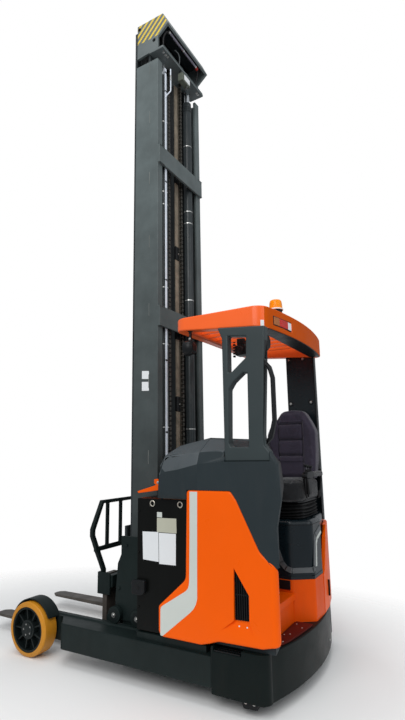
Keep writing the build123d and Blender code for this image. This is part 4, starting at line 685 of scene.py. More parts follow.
def turned(s, z, depth):
    # A place on the panel: length along its plan, height, and depth under its face.
    turn = min(max((s - CORNER_START) / CORNER_RADIUS, 0.0), math.pi / 2)
    x = -min(s, CORNER_START) - (CORNER_RADIUS - depth) * math.sin(turn)
    y = CORNER_CENTRE_Y + (CORNER_RADIUS - depth) * math.cos(turn) - max(s - CORNER_END, 0.0)
    return Vector((x, y, z))


def filleted(corners, count=8):
    # A closed outline from corners (s, z, radius), each rounded.
    out = []
    for i, (s, z, r) in enumerate(corners):
        p = Vector((s, z))
        before, after = Vector(corners[i - 1][:2]) - p, Vector(corners[(i + 1) % len(corners)][:2]) - p
        reach = min(r / math.tan(before.angle(after) / 2), 0.45 * before.length, 0.45 * after.length)
        a, b = p + before.normalized() * reach, p + after.normalized() * reach
        out += [a.lerp(p, k / count).lerp(p.lerp(b, k / count), k / count) for k in range(count + 1)]
    return out


def panel_mesh(outline, hole, rim=0.013, wall=0.0235):
    part = bmesh.new()
    turn = sum(a.x * b.y - b.x * a.y for a, b in zip(outline, outline[1:] + outline[:1]))
    inward = []
    for i, p in enumerate(outline):
        t = (outline[(i + 1) % len(outline)] - outline[i - 1]).normalized()
        inward.append(Vector((-t.y, t.x)) * (1 if turn > 0 else -1))
    rows = []
    for k in range(7):
        a = math.radians(15 * min(k, 6))
        inset, depth = rim * (1 - math.sin(a)), rim * (1 - math.cos(a))
        rows.append([part.verts.new((p.x + n.x * inset, p.y + n.y * inset, depth)) for p, n in zip(outline, inward)])
    rows.append([part.verts.new((p.x, p.y, wall)) for p in outline])
    count = len(outline)
    for a, b in zip(rows, rows[1:]):
        for i in range(count):
            j = (i + 1) % count
            part.faces.new((a[i], a[j], b[j], b[i]))
    face = [part.verts.new((x, z, 0)) for x, z in hole]
    back = [part.verts.new((hole[i][0], hole[i][1], wall)) for i in (0, 1, 2, 5)]
    for a, b in ((5, 0), (0, 1), (1, 2)):
        ends = {0: back[0], 1: back[1], 2: back[2], 5: back[3]}
        part.faces.new((face[a], face[b], ends[b], ends[a]))
    part.faces.new((face[3], face[4], back[3], back[2]))
    part.faces.new((face[3], back[2], face[2]))
    part.faces.new((face[4], face[5], back[3]))
    for ring, inner in ((rows[0], face), (rows[-1], back)):
        edges = []
        for loop in (ring, inner):
            for a, b in zip(loop, loop[1:] + loop[:1]):
                edges.append(part.edges.get((a, b)) or part.edges.new((a, b)))
        bmesh.ops.triangle_fill(part, edges=edges, use_beauty=True, use_dissolve=False, normal=(0, 0, 1))
    for k in range(9):
        bmesh.ops.bisect_plane(part, geom=part.verts[:] + part.edges[:] + part.faces[:], dist=1e-6,
                               plane_co=(CORNER_START + 0.0078539 * k, 0, 0), plane_no=(1, 0, 0))
    for v in part.verts:
        v.co = turned(*v.co)
    return part


PANEL_CORNERS = [
    (0.714, 1.156, 0.028), (1.012, 1.156, 0.040), (1.048, 1.107, 0.060), (1.184, 0.833, 0.090), (1.3055, 0.742, 0.040),
    (1.3055, 0.367, 0.040), (1.230, 0.361, 0.060), (1.175, 0.347, 0.060), (0.912, 0.342, 0.060), (0.854, 0.322, 0.060),
    (0.800, 0.308, 0.040), (0.536, 0.308, 0.030), (0.508, 0.334, 0.030), (0.508, 0.476, 0.030), (0.701, 0.643, 0.060)]
VENT_OPENING = [(1.021, 0.741), (1.110, 0.606), (1.108, 0.468), (1.134, 0.405), (0.930, 0.405), (1.014, 0.467)]
p = Piece("side_panel", "chassis", "orange_paint")
p.take(panel_mesh(filleted(PANEL_CORNERS), VENT_OPENING), "orange")
p.done(replaces=("side_panel_left",))

# Trim of the sides: stripes, vent grille, battery fittings and the bracket in front of the hood
STRIPE = [(-739, 1146), (-736, 900), (-730, 642), (-727, 616), (-719, 596), (-705, 582), (-541, 482), (-530, 472),
          (-526, 460), (-525, 322), (-530, 316), (-543, 317), (-735, 470), (-757, 492), (-773, 518), (-782, 549),
          (-787, 850), (-792, 1146)]
p = Piece("panel_stripes", "chassis", None)
for side in (1, -1):
    p.slab(mms(STRIPE), "y", *sorted((side * 0.6275, side * 0.6287)), key="stripe")
p.done()

p = Piece("vent_grille", "chassis", "black_plastic")
VENT = [(-1021, 741), (-1110, 606), (-1108, 471), (-1012, 466)]
p.slab(mms(VENT), "y", 0.6040, 0.6055, "black")
for i in range(7):
    x = -1019 - i * 13.6
    low = 468 + (x + 1012) * (471 - 466) / (-1108 + 1012)
    high = 741 + (x + 1021) * (741 - 606) / (1110 - 1021)
    if high > low + 20:
        p.slab(mms([(x, low), (x, min(high, 741)), (x - 4.5, min(high, 741) - 6), (x - 4.5, low)]), "y", 0.6050, 0.6175,
               "plastic", 0.0010)
p.box(mm(-1104, 607, 598), mm(-1018, 615, 604), "plastic", 0.0008)
for x in (-1040, -1088):
    p.rivet(mm(x, 615, 440), (0, 1, 0.38), 0.0045, "white")
p.done()

p = Piece("battery_fittings", "chassis", "battery_black")
for side in (1, -1):
    for x in (-438, -646):
        p.lathe(mm(x, side * 590.5, 1063), (0, side, 0), [(0, 0.0125), (0, 0.0200), (0.0025, 0.0200), (0.004, 0.0180),
                                                      (0.004, 0.0145), (0.0015, 0.0125)], "rim_metal", 32, ring=True)
        p.lathe(mm(x, side * 580, 1063), (0, side, 0), [(0, 0.0165), (0.001, 0.0165)], "black", 28)
    p.box(mm(-742, min(side * 572, side * 589), 1092.4), mm(-520, max(side * 572, side * 589), 1098.5), "brown", 0.001)
p.slab(mms([(-362, 888), (-484, 892), (-487, 716), (-367, 721)]), "y", 0.5908, 0.5918, "white")
p.slab(mms([(-488, 888), (-615, 889), (-613, 707), (-491, 705)]), "y", 0.5912, 0.5923, "white")
p.slab(mms([(-474, 977), (-618, 979), (-620, 892), (-474, 892)]), "y", 0.5908, 0.5922, "beige")
p.slab(mms([(-474, 1012), (-512, 1012), (-512, 980), (-474, 981)]), "y", 0.5908, 0.5915, "stripe")
p.slab(mms([(-396, 596), (-388, 603), (-304, 598), (-297, 590), (-297, 520), (-304, 512), (-372, 514), (-396, 530)]),
       "y", 0.589, 0.618, "plastic", 0.009, 3)
p.rod(mm(-302, 603, 574), mm(-284, 603, 574), 0.007, "plastic", bevel=0.002)
p.lathe(mm(-346, 618, 556), (0, 1, 0), [(0, 0.012), (0.002, 0.012), (0.003, 0.009)], "rubber", 20)
for z in (440, 760, 1010):
    p.bolt(mm(-334, 591, z), (0, 1, 0), 0.006, 0.004, "battery")
p.done()

p = Piece("hood_bracket", "chassis", "orange_paint")
for side in (1, -1):
    p.slab(mms([(-209, 1122), (-213, 1111), (-222, 1110), (-400, 1134), (-400, 1205), (-365, 1205), (-349, 1204),
                (-348, 1176), (-366, 1166)]), "y", *sorted((side * 0.405, side * 0.450)), key="orange", bevel=0.0025)
    p.bolt(mm(-380, side * 450, 1182), (0, side, 0), 0.007, 0.005)
p.done()

# Guard: rear lamp cluster with its blank label, lamps and clips under the roof, beacon and work lamps
def guard_rear(y):
    return -1307 + y * y / 5455


def rear_band(piece, y0, y1, z0, z1, outward, depth, key, bevel=0.0):
    rings = []
    steps = max(2, int(abs(y1 - y0) / 15))
    for i in range(steps + 1):
        y = y0 + (y1 - y0) * i / steps
        x = guard_rear(y) - outward
        rings.append(mms([(x, y, z0), (x, y, z1), (x + depth, y, z1), (x + depth, y, z0)]))
    return piece.hull(rings, key, bevel)


p = Piece("rear_lamps", "chassis", "black_plastic")
rear_band(p, 480, 246, 2137, 2196, 1.5, 9, "plastic", 0.0015)
rear_band(p, 474, 410, 2142, 2191, 4, 6, "amber_dark", 0.0015)
rear_band(p, 408, 299, 2142, 2191, 4, 6, "red_lens", 0.0015)
rear_band(p, 297, 252, 2142, 2191, 4, 6, "clear_lens", 0.0015)
p.hull([mms([(-1221, 579, z), (-1238, 566, z), (-1239, 567.5, z), (-1222, 580.5, z)]) for z in (2108, 2152)], "white")
p.done()

p = Piece("roof_lamps", "chassis", "black_plastic")
p.lathe(mm(-1222, 470, 2040), (1, 0, 0), [(0, 0.030), (0.003, 0.046), (0.010, 0.050), (0.013, 0.055), (0.018, 0.050),
                                          (0.023, 0.055), (0.028, 0.050), (0.033, 0.055), (0.038, 0.050),
                                          (0.060, 0.044)], "plastic", 36)
p.box(mm(-1205, 462, 2090), mm(-1180, 478, 2112), "plastic", 0.002)
p.box(mm(-872, -46, 2074), mm(-782, 46, 2150), "plastic", 0.012, 3)
p.box(mm(-858, -40, 2150), mm(-800, 40, 2200), "rubber", 0.006, 2)
p.box(mm(-880, -52, 2098), mm(-872, 52, 2128), "black", 0.002)
p.lathe(mm(-827, 46, 2110), (0, 1, 0), [(0, 0.030), (0.006, 0.030), (0.009, 0.022), (0.004, 0.018)], "black", 28)
for k in range(6):
    p.box(mm(-768, -9, 2070 + k * 22), mm(-752, 9, 2084 + k * 22), "rubber", 0.003)
p.done()

p = Piece("beacon_light", "chassis", "beacon_amber")
here = mm(-1217, 300, 2245)
p.lathe(here, (0, 0, 1), [(0, 0.046), (0.004, 0.047), (0.006, 0.041), (0.034, 0.040), (0.036, 0.046)], "plastic", 40)
p.lathe(here, (0, 0, 1), [(0.0355, 0.0455), (0.037, 0.048), (0.043, 0.048), (0.045, 0.0455)], "white", 40)
p.lathe(here, (0, 0, 1), [(0.0445, 0.0425), (0.060, 0.0425), (0.085, 0.0405), (0.097, 0.038), (0.104, 0.032),
                          (0.108, 0.02), (0.109, 0.006)], "amber_lens", 40)
p.done(replaces=("beacon",))

p = Piece("work_lamp_pair", "chassis", "black_plastic")
for side in (1, -1):
    x0, y, z = -755, side * 570, 2042
    p.lathe(mm(x0, y, z), (1, 0, 0), [(0, 0.020), (0.004, 0.034), (0.018, 0.047), (0.034, 0.051), (0.056, 0.052),
                                      (0.065, 0.049), (0.065, 0.044), (0.060, 0.043)], "plastic", 36)
    p.lathe(mm(x0, y, z), (1, 0, 0), [(0.058, 0.0435), (0.0615, 0.043), (0.0635, 0.02), (0.064, 0.002)],
            "clear_lens", 36)
    for k in range(5):
        p.box(mm(x0 + 4, y - 30 + k * 13, z - 42), mm(x0 + 26, y - 26 + k * 13, z + 42), "plastic", 0.001)
    p.box(mm(-730, y - 8, z + 48), mm(-716, y + 8, 2162), "plastic", 0.002)
    p.box(mm(-736, y - 15, 2150), mm(-710, y + 15, 2160), "plastic", 0.002)
    p.bolt(mm(-723, y + side * 8, z + 60), (0, side, 0), 0.006, 0.005)
p.done(replaces=("work_lamps",))

# Right pillar fittings, steering wheel and armrest with its levers
p = Piece("right_pillar_fittings", "chassis", "hood_grey")
for x, z in ((-990, 2108), (-1104, 2108), (-988, 1750), (-1154, 1754)):
    p.lathe(mm(x, -546, z), (0, 1, 0), [(0, 0.019), (0.004, 0.019), (0.006, 0.016), (0.002, 0.013)], "black", 28)
    p.bolt(mm(x, -545, z), (0, 1, 0), 0.0075, 0.006, "zinc")
p.box(mm(-1200, -546, 872), mm(-1191, -524, 2122), "plastic", 0.002)
p.box(mm(-1010, -546, 2072), mm(-966, -542, 2128), "plastic", 0.002)
for z in range(1890, 2070, 36):
    p.box(mm(-1150, -546.5, z), mm(-1010, -544.2, z + 15), "slate", 0.001)
p.done()

p = Piece("steering_wheel_rim", "chassis", "black_plastic")
centre = Vector(mm(-1040, 360, 1192))
grip = 0.073
ring = []
for k in range(40):
    a = math.tau * k / 40
    ring.append(centre + Vector((grip * math.cos(a), grip * math.sin(a), 0)))
p.tube(ring, 0.0115, "rubber", 14, 2, closed=True)
for k in range(3):
    a = math.radians(90 + 120 * k)
    out = Vector((math.cos(a), math.sin(a), 0))
    p.tube([centre - Vector((0, 0, 0.012)), centre + out * 0.035 - Vector((0, 0, 0.010)), centre + out * 0.070], 0.006,
           "plastic", 8, 6, profile=[(-0.010, -0.003), (0.010, -0.003), (0.010, 0.003), (-0.010, 0.003)])
p.lathe(mm(-1040, 360, 1100), (0, 0, 1), [(0, 0.036), (0.020, 0.034), (0.034, 0.022), (0.078, 0.020), (0.086, 0.027),
                                          (0.094, 0.027), (0.099, 0.018), (0.100, 0.004)], "plastic", 32)
p.lathe(mm(-1040, 428, 1199), (0, 0, 1), [(0, 0.006), (0.004, 0.014), (0.006, 0.0145)], "rubber", 20)
p.slab(mms([(-1072, 385), (-1008, 385), (-1002, 463), (-1078, 463)]), "z", 1.100, 1.136, "plastic", 0.006)
p.slab(mms([(-1062, 395), (-1018, 395), (-1016, 452), (-1064, 452)]), "z", 1.135, 1.139, "trim", 0.001)
p.done(replaces=("steering_wheel",))

p = Piece("armrest_controls", "chassis", "black_plastic")
p.slab(mms([(-326, 1206), (-322, 1226), (-308, 1234), (-120, 1234), (-108, 1228), (-104, 1212), (-112, 1200),
            (-310, 1198)]), "x", -1.279, -1.241, "seat_flat", 0.008, 3)
p.slab(mms([(-118, 1197), (-118, 1228), (-96, 1240), (14, 1236), (36, 1222), (39, 1206), (24, 1197)]), "x", -1.2795,
       -1.2405, "plastic", 0.005, 3)
p.slab(mms([(-340, 1198), (-340, 1234), (-302, 1234), (-302, 1198)]), "x", -1.262, -1.2405, "plastic", 0.003)
for y, h, lean in ((-86, 40, -6), (-52, 46, 3), (-18, 50, 6)):
    p.lathe(mm(-1261, y, 1236), (0, 0, 1), [(0, 0.013), (0.004, 0.011), (0.007, 0.012), (0.011, 0.009), (0.015, 0.0095),
                                           (0.018, 0.006)], "rubber", 20)
    top = mm(-1261 + lean, y, 1236 + h - 14)
    p.rod(mm(-1261, y, 1250), top, 0.003, "trim", 10)
    p.lathe(top, (0, 0.1, 1), [(-0.006, 0.005), (0, 0.0105), (0.009, 0.0125), (0.014, 0.009), (0.0155, 0.002)],
            "plastic", 20)
p.lathe(mm(-1261, 12, 1232), (0, 0, 1), [(0, 0.016), (0.003, 0.016), (0.008, 0.011), (0.009, 0.003)], "rubber", 24)
p.slab(mms([(-70, 1196), (28, 1196), (10, 1150), (-8, 1092), (-52, 1092), (-60, 1150)]), "x", -1.278, -1.243,
       "plastic", 0.006)
p.tube(mms([(-1272, 20, 1200), (-1281, 34, 1160), (-1276, 20, 1110), (-1262, -20, 1080)]), 0.006, "rubber", 10, 8)
p.tube(mms([(-1262, 26, 1204), (-1268, 44, 1150), (-1262, 30, 1100), (-1255, -10, 1070)]), 0.005, "rubber", 10, 8)
p.done(replaces=("armrest",))

# Seat: cushions filled by a cloth simulation, their seams and their shell
def bake(o):
    # Applies an object's modifiers to its mesh.
    bpy.context.view_layer.update()
    graph = bpy.context.evaluated_depsgraph_get()
    graph.update()
    mesh = bpy.data.meshes.new_from_object(o.evaluated_get(graph))
    o.modifiers.clear()
    o.data = mesh


def pillow(name, points, axis, low, high, key, cap, dent, cells=0.008, pressure=4.0, shrink=0.006):
    # An outline extruded across one axis, remeshed, blown up a little as cloth, then dented along its seams.
    part = bmesh.new()
    rows = [[part.verts.new(across(q, axis, v)) for q in points] for v in (low + shrink, high - shrink)]
    n = len(points)
    for i in range(n):
        j = (i + 1) % n
        part.faces.new((rows[0][i], rows[0][j], rows[1][j], rows[1][i]))
    part.faces.new(rows[0][::-1])
    part.faces.new(rows[1])
    bmesh.ops.recalc_face_normals(part, faces=part.faces)
    edges = [e for e in part.edges if e.calc_face_angle() > math.radians(25)]
    bmesh.ops.bevel(part, geom=edges, offset=0.016, offset_type="OFFSET", segments=3, profile=0.5, affect="EDGES",
                    clamp_overlap=True)
    mesh = bpy.data.meshes.new(name)
    part.to_mesh(mesh)
    part.free()
    o = add_object(name, mesh)
    remesh = o.modifiers.new("remesh", "REMESH")
    remesh.mode = "VOXEL"
    remesh.voxel_size = cells
    bake(o)
    start = [(v.co.copy(), v.normal.copy()) for v in o.data.vertices]
    c = o.modifiers.new("cloth", "CLOTH")
    c.settings.quality = 3
    c.settings.mass = 0.3
    c.settings.tension_stiffness = 40
    c.settings.compression_stiffness = 40
    c.settings.shear_stiffness = 20
    c.settings.bending_stiffness = 0.6
    c.settings.use_pressure = True
    c.settings.uniform_pressure_force = pressure
    c.settings.effector_weights.gravity = 0
    c.collision_settings.use_collision = False
    c.point_cache.frame_start, c.point_cache.frame_end = 1, 20
    for f in range(1, 21):
        bpy.context.scene.frame_set(f)
    bake(o)
    bpy.context.scene.frame_set(1)
    for v, (s, n) in zip(o.data.vertices, start):
        v.co = s + n * min(cap, max(-0.001, (v.co - s).dot(n)))
    sub = o.modifiers.new("sub", "SUBSURF")
    sub.levels = sub.render_levels = 1
    bake(o)
    for v in o.data.vertices:
        v.co += dent(v.co, v.normal)
    o.data.materials.clear()
    o.data.materials.append(M[key])
    for poly in o.data.polygons:
        poly.use_smooth = True
    return o


def groove(distance, width, depth):
    t = min(1.0, abs(distance) / width)
    return -depth * (1 - t * t) ** 2


BACK_SEAMS_Z = (1.577, 1.458, 1.344)
BACK_SEAMS_X = (-0.957, -1.140)


def back_dent(co, n):
    # Cross seams between two upright seams, on the front of the back rest.
    if n.y < 0.15:
        return Vector((0, 0, 0))
    lean = min(1.0, n.y * 1.4)
    depth = 0.0
    if BACK_SEAMS_X[1] - 0.004 < co.x < BACK_SEAMS_X[0] + 0.004:
        depth += sum(groove(co.z - z, 0.016, 0.010) for z in BACK_SEAMS_Z)
        nearest = min(abs(co.z - z) for z in BACK_SEAMS_Z)
        if 1.30 < co.z < 1.60:
            depth += 0.006 * min(1.0, nearest / 0.03)
    if 1.22 < co.z < 1.60:
        depth += sum(groove(co.x - x, 0.014, 0.009) for x in BACK_SEAMS_X)
    return Vector((0, depth * lean, 0))


def cushion_dent(co, n):
    # A welt seam round the top of the cushion and one across it.
    depth = 0.0
    if n.z > 0.2:
        depth += groove(co.y + 0.02, 0.015, 0.007) * min(1, n.z * 1.3)
        depth += sum(groove(co.x - x, 0.014, 0.006) for x in (-0.985, -1.165)) * min(1, n.z * 1.3)
    return Vector((0, 0, depth))


back_points = mms([(-885, 1176), (-874, 1290), (-862, 1400), (-862, 1500), (-884, 1552), (-940, 1610), (-975, 1660),
                   (-1000, 1676), (-1068, 1682), (-1142, 1674), (-1168, 1650), (-1205, 1590), (-1238, 1520),
                   (-1238, 1400), (-1234, 1290), (-1222, 1176)])
back = pillow("seat_back_cushion", back_points, "y", -0.418, -0.306, "seat", 0.010, back_dent)
BACK_LOW, BACK_HEIGHT, BACK_CENTRE_X, BACK_HALF = 1.2, 0.48, -1.068, 0.17
for v in back.data.vertices:
    rise = (v.co.z - BACK_LOW) / BACK_HEIGHT
    v.co.y -= 0.022 * rise + 0.010 * math.sin(math.pi * max(0, min(1, rise)))
    v.co.y += 0.016 * min(1, abs(v.co.x - BACK_CENTRE_X) / BACK_HALF) ** 2
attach(back, "chassis")
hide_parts("seat_back")

seat_points = mms([(-1238, -320), (-1240, -100), (-1236, 0), (-1212, 42), (-1160, 55), (-990, 55), (-940, 42),
                   (-914, 0), (-908, -100), (-912, -320), (-960, -410), (-1180, -410)])
seat = pillow("seat_cushion_pad", seat_points, "z", 1.046, 1.180, "seat_flat", 0.012, cushion_dent)
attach(seat, "chassis")
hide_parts("seat_cushion")


p = Piece("seat_seams", "chassis", "seat_cloth")
back_front = [(v.co.x, v.co.z, v.co.y) for v in back.data.vertices if v.co.y > -0.37]


def front_at(x, z):
    # The cushion's front surface nearest to a place on the back rest.
    return min(back_front, key=lambda q: (q[0] - x) ** 2 + (q[1] - z) ** 2 - 0.002 * q[2])[2]


for z in BACK_SEAMS_Z:
    line = [(x, front_at(x, z) + 0.0005, z) for x in [BACK_SEAMS_X[0] + (BACK_SEAMS_X[1] - BACK_SEAMS_X[0]) * i / 10
                                                     for i in range(11)]]
    p.tube(line, 0.0018, "piping", 6, 3)
for x in BACK_SEAMS_X:
    line = [(x, front_at(x, z) + 0.0005, z) for z in [1.24 + 0.337 * i / 14 for i in range(15)]]
    p.tube(line, 0.0018, "piping", 6, 3)
p.done()

p = Piece("seat_shell", "chassis", "black_plastic")
p.slab(mms([(-1215, 1200), (-1222, 1420), (-1190, 1560), (-1130, 1640), (-1006, 1640), (-946, 1560), (-914, 1420),
            (-921, 1200)]), "y", -0.468, -0.428, "plastic", 0.014, 3)
p.slab(mms([(-1222, -400), (-1226, -40), (-1200, 20), (-948, 20), (-924, -40), (-926, -400)]), "z", 1.0365, 1.052,
       "plastic", 0.005)
for x in (-1226, -918):
    p.tube(mms([(x, -330, 1044), (x, -400, 1080), (x, -436, 1150), (x, -440, 1240)]), 0.009, "plastic", 10, 6)
p.lathe(mm(-1236, -330, 1070), (-1, 0, 0), [(-0.01, 0.022), (0.004, 0.024), (0.012, 0.020), (0.014, 0.006)],
        "rubber", 24)
p.done()

# Bellows: soft pleats that sag between their corners
def rounded(x0, x1, y0, y1, r, count=8):
    out = []
    for cx, cy, a0 in ((x1 - r, y1 - r, 0), (x0 + r, y1 - r, 90), (x0 + r, y0 + r, 180), (x1 - r, y0 + r, 270)):
        for k in range(count + 1):
            a = math.radians(a0 + 90 * k / count)
            out.append((cx + r * math.cos(a), cy + r * math.sin(a)))
    dense = []
    for i, a in enumerate(out):
        b = out[(i + 1) % len(out)]
        dense.append(a)
        gap = math.hypot(b[0] - a[0], b[1] - a[1])
        for k in range(1, int(gap / 22) + 1):
            t = k / (int(gap / 22) + 1)
            dense.append((a[0] + (b[0] - a[0]) * t, a[1] + (b[1] - a[1]) * t))
    return dense


PLEATS, PLEAT_DEPTH, PLEAT_STEPS = 5, 17, 40
BELLOWS_X, BELLOWS_Y, BELLOWS_LOW, BELLOWS_RISE = -1060, -200, 930.5, 104
rim = rounded(-1215, -905, -400, 0, 46)
rings = []
for k in range(PLEAT_STEPS + 1):
    t = k / PLEAT_STEPS
    wave = 0.5 - 0.5 * math.cos(t * PLEATS * math.tau)
    inset = PLEAT_DEPTH * (1 - wave) ** 1.4 + 6 * t
    z = BELLOWS_LOW + BELLOWS_RISE * t
    ring = []
    for x, y in rim:
        cx, cy = x - BELLOWS_X, y - BELLOWS_Y
        sag = 14 * math.sin(math.pi * t) * (1 - (min(1, abs(cx) / 155) * min(1, abs(cy) / 200)) ** 2)
        crease = 1.5 * noise.noise(Vector((x * 0.02, y * 0.02, t * 9)))
        f = 1 - (inset + crease) / math.hypot(cx, cy)
        ring.append(mm(BELLOWS_X + cx * f, BELLOWS_Y + cy * f, z - sag))
    rings.append(ring)
p = Piece("bellows_pleats", "chassis", "bellows_rubber")
p.hull(rings, "rubber")
p.done(smooth=60, replaces=("seat_bellows",))

# Pedestal: moulded band, accent strip, lid line, a black box as painted shade in the pocket, and floor lip
FRONT_CORNER, REAR_CORNER = Vector((-1.145, 0.061)), Vector((-1.271, -0.025))
FACET = 0.15255


def beside(s, z, lift):
    # A place on the cover's entry side: s runs rearward along its faces from the front left corner.
    cut = (REAR_CORNER - FRONT_CORNER).length
    if s <= 0:
        q, out = FRONT_CORNER + Vector((-1, 0)) * s, Vector((0, 1))
    elif s <= cut:
        q = FRONT_CORNER + Vector((-0.126, -0.086)).normalized() * s
        out = Vector((-0.086, 0.126)).normalized()
    else:
        q, out = REAR_CORNER + Vector((0, -1)) * (s - cut), Vector((-1, 0))
    q = q + out * lift
    return Vector((q.x, q.y, z))


def side_band(piece, places, width, thick, key):
    dense = []
    for a, b in zip(places, places[1:]):
        marks = [0.0, 1.0]
        for corner in (0.0, FACET):
            if (a[0] - corner) * (b[0] - corner) < 0:
                t = (corner - a[0]) / (b[0] - a[0])
                marks += [max(0, t - 0.004), min(1, t + 0.004)]
        for t in sorted(marks):
            dense.append((a[0] + (b[0] - a[0]) * t, a[1] + (b[1] - a[1]) * t))
    rings = []
    for i, (s, z) in enumerate(dense):
        before, after = dense[max(i - 1, 0)], dense[min(i + 1, len(dense) - 1)]
        ds, dz = after[0] - before[0], after[1] - before[1]
        length = math.hypot(ds, dz) or 1
        ns, nz = -dz / length * width / 2, ds / length * width / 2
        low, high = (s - ns, z - nz), (s + ns, z + nz)
        rings.append([beside(*low, -0.001), beside(*high, -0.001), beside(*high, thick), beside(*low, thick)])
    return piece.hull(rings, key)


p = Piece("pedestal_trim", "chassis", "pedestal_slate")
side_band(p, [(-0.118, 0.842), (-0.100, 0.780), (-0.060, 0.668), (-0.030, 0.634), (0.010, 0.622), (0.150, 0.622),
              (0.166, 0.640), (0.190, 0.790), (0.212, 0.826), (0.330, 0.862)], 0.032, 0.004, "trim")
side_band(p, [(0.196, 0.636), (0.216, 0.770), (0.238, 0.802), (0.330, 0.832)], 0.018, 0.0055, "stripe")
side_band(p, [(-0.340, 0.900), (0.330, 0.900)], 0.0035, 0.001, "black")
side_band(p, [(-0.340, 0.577), (0.330, 0.577)], 0.020, 0.003, "slate")
# Painted shade: a black box fills the shaded pocket under the left side of the cover.
p.box(mm(-1140, 61, 508), mm(-1010, 74, 562), "black", 0.003)
p.done()

p = Piece("mat_surface", "chassis", "step_mat")
mat_points = [(-1168.5, 72.5), (-1168.5, 456.5), (-1216.5, 456.5), (-1238, 380), (-1256, 264), (-1268, 160),
              (-1276.5, 72.5)]
p.slab(mms(mat_points), "z", 0.3185, 0.3305, "mat", 0.003, 2)
for x, y in ((-1208, 294), (-1180, 318), (-1239, 170), (-1188, 120), (-1212, 420)):
    p.rivet(mm(x, y, 330.5), (0, 0, 1), 0.006, "zinc")
p.done(replaces=("entry_step",))

p = Piece("right_corner_slot", "chassis", "black_plastic")
p.hull([[mm(x - 3, y, z) for x, y, z in ring] for ring in (
    [(-1257, -338, 392), (-1257, -352, 386), (-1257, -354, 492), (-1257, -340, 496)],
    [(-1272, -338, 392), (-1270, -352, 386), (-1270, -354, 492), (-1272, -340, 496)])], "black", 0.003)
p.done()

# Skirt: seam, screws, grating in its step and the foot below its edge
p = Piece("skirt_fittings", "chassis", "frame_grey")
ribbon(p, mms([(-1241, 404, 317), (-1255, 352, 210), (-1271, 272, 74)]),
       [(-1, 0.29, 0), (-1, 0.26, 0), (-1, 0.2, 0)], 0.004, 0.0006, "black")
for x, y, z in ((-1286, 37, 247), (-1280, 108, 98), (-1270, -277, 131), (-1286, -40, 98)):
    p.bolt(mm(x, y, z), (-1, y / 2000, 0), 0.006, 0.004)
for k in range(9):
    x = -1040 + k * 19
    p.box(mm(x, 545, 293), mm(x + 5, 624, 299), "plastic", 0.001)
for k in range(4):
    p.box(mm(-1044, 546 + k * 25, 293), mm(-884, 551 + k * 25, 299.5), "plastic", 0.001)
for side in (1, -1):
    p.slab(mms([(-1042, side * 606), (-1130, side * 606), (-1122, side * 560), (-1050, side * 560)]), "z", 0.040,
           0.0725, "plastic", 0.005)
    p.slab(mms([(-1038, 92), (-1134, 92), (-1134, 62), (-1122, 42), (-1050, 38), (-1038, 58)]), "y",
           *sorted((side * 0.598, side * 0.612)), key="plastic", bevel=0.003)
    for x in (-1063, -1112):
        p.bolt(mm(x, side * 612, 74), (0, side, 0), 0.008, 0.006)
for k in range(9):
    z = 88 + k * 25
    p.tube(mms([(-1184 + random.uniform(-1, 1), 582.5, z), (-1185 + random.uniform(-1, 1), 582.2, z + 14)]),
           random.uniform(0.0006, 0.0016), "rust", 5, 2)
p.done()

# Mast: weld marks, blank plates, stops, cylinder bands, and the pipes and hoses behind it; the pale pipes are painted
# highlight, standing in for the light on the left lift cylinder
CYLINDER_X, CYLINDER_Y = -250, 193
p = Piece("outer_mast_marks", "reach_carriage", "mast_grey")
for side in (1, -1):
    for low, high in ((4499, 4606), (4037, 4149), (3487, 3597), (2950, 3050), (2400, 2500), (1850, 1950), (1300, 1400)):
        line = [mm(-215 + 1.5 * noise.noise(Vector((0, side, z * 0.05))), side * 334.2, z) for z in range(low, high, 9)]
        p.tube(line, 0.0022, "mast_edge", 6, 2)
    for z0 in (4425, 2210):
        p.slab(mms([(-73.5, z0), (-60, z0 + 4), (-57, z0 + 30), (-57, z0 + 62), (-62, z0 + 86), (-73.5, z0 + 90)]), "y",
               *sorted((side * 0.300, side * 0.330)), key="plastic", bevel=0.004)
p.slab(mms([(-153, 1981), (-217, 1975), (-217, 1915), (-153, 1921)]), "y", 0.3338, 0.3347, "white")
p.slab(mms([(-153, 1899), (-217, 1894), (-217, 1828), (-153, 1832)]), "y", 0.3338, 0.3347, "white")
# Painted highlight: two pale tubes in front of the left lift cylinder give the bright streak of light on it.
for y in (207, 219):
    p.tube(mms([(-289.5, y, 1300), (-289.5, y, 4606)]), 0.0052, "tube_painted_highlight", 12, 1)
p.tube(mms([(-322, 183, 4612), (-322, 183, 4440), (-322, 184, 4405), (-318, 192, 4385), (-300, 208, 4352),
            (-290, 213, 4330)]), 0.0055, "tube_painted_highlight", 10, 8)
p.lathe(mm(-322, 183, 4500), (0, 0, 1), [(0, 0.009), (0.014, 0.009)], "zinc", 6)
p.lathe(mm(-322, 183, 4520), (0, 0, 1), [(0, 0.0075), (0.030, 0.0075)], "zinc", 6)
for z in (4562, 4380, 3540, 2700, 2060, 1520):
    p.box(mm(-295, 203, z), mm(-284, 224, z + 14), "plastic", 0.002)
for side in (1, -1):
    for z in (4101, 3461, 3350, 2646, 2191, 1560):
        p.lathe(mm(CYLINDER_X, side * CYLINDER_Y, z), (0, 0, 1),
                [(0, 0.0395), (0, 0.0408), (0.008, 0.0408), (0.008, 0.0395)], "zinc", 40)
    p.lathe(mm(CYLINDER_X, side * CYLINDER_Y, 4460), (0, 0, 1),
            [(0, 0.0396), (0.004, 0.043), (0.060, 0.043), (0.066, 0.040)], "cylinder", 40)
    for k in range(3):
        p.lathe(mm(CYLINDER_X, side * CYLINDER_Y, 4466 + k * 18), (0, 0, 1), [(0, 0.0437), (0.004, 0.0437)],
                "plastic", 40)
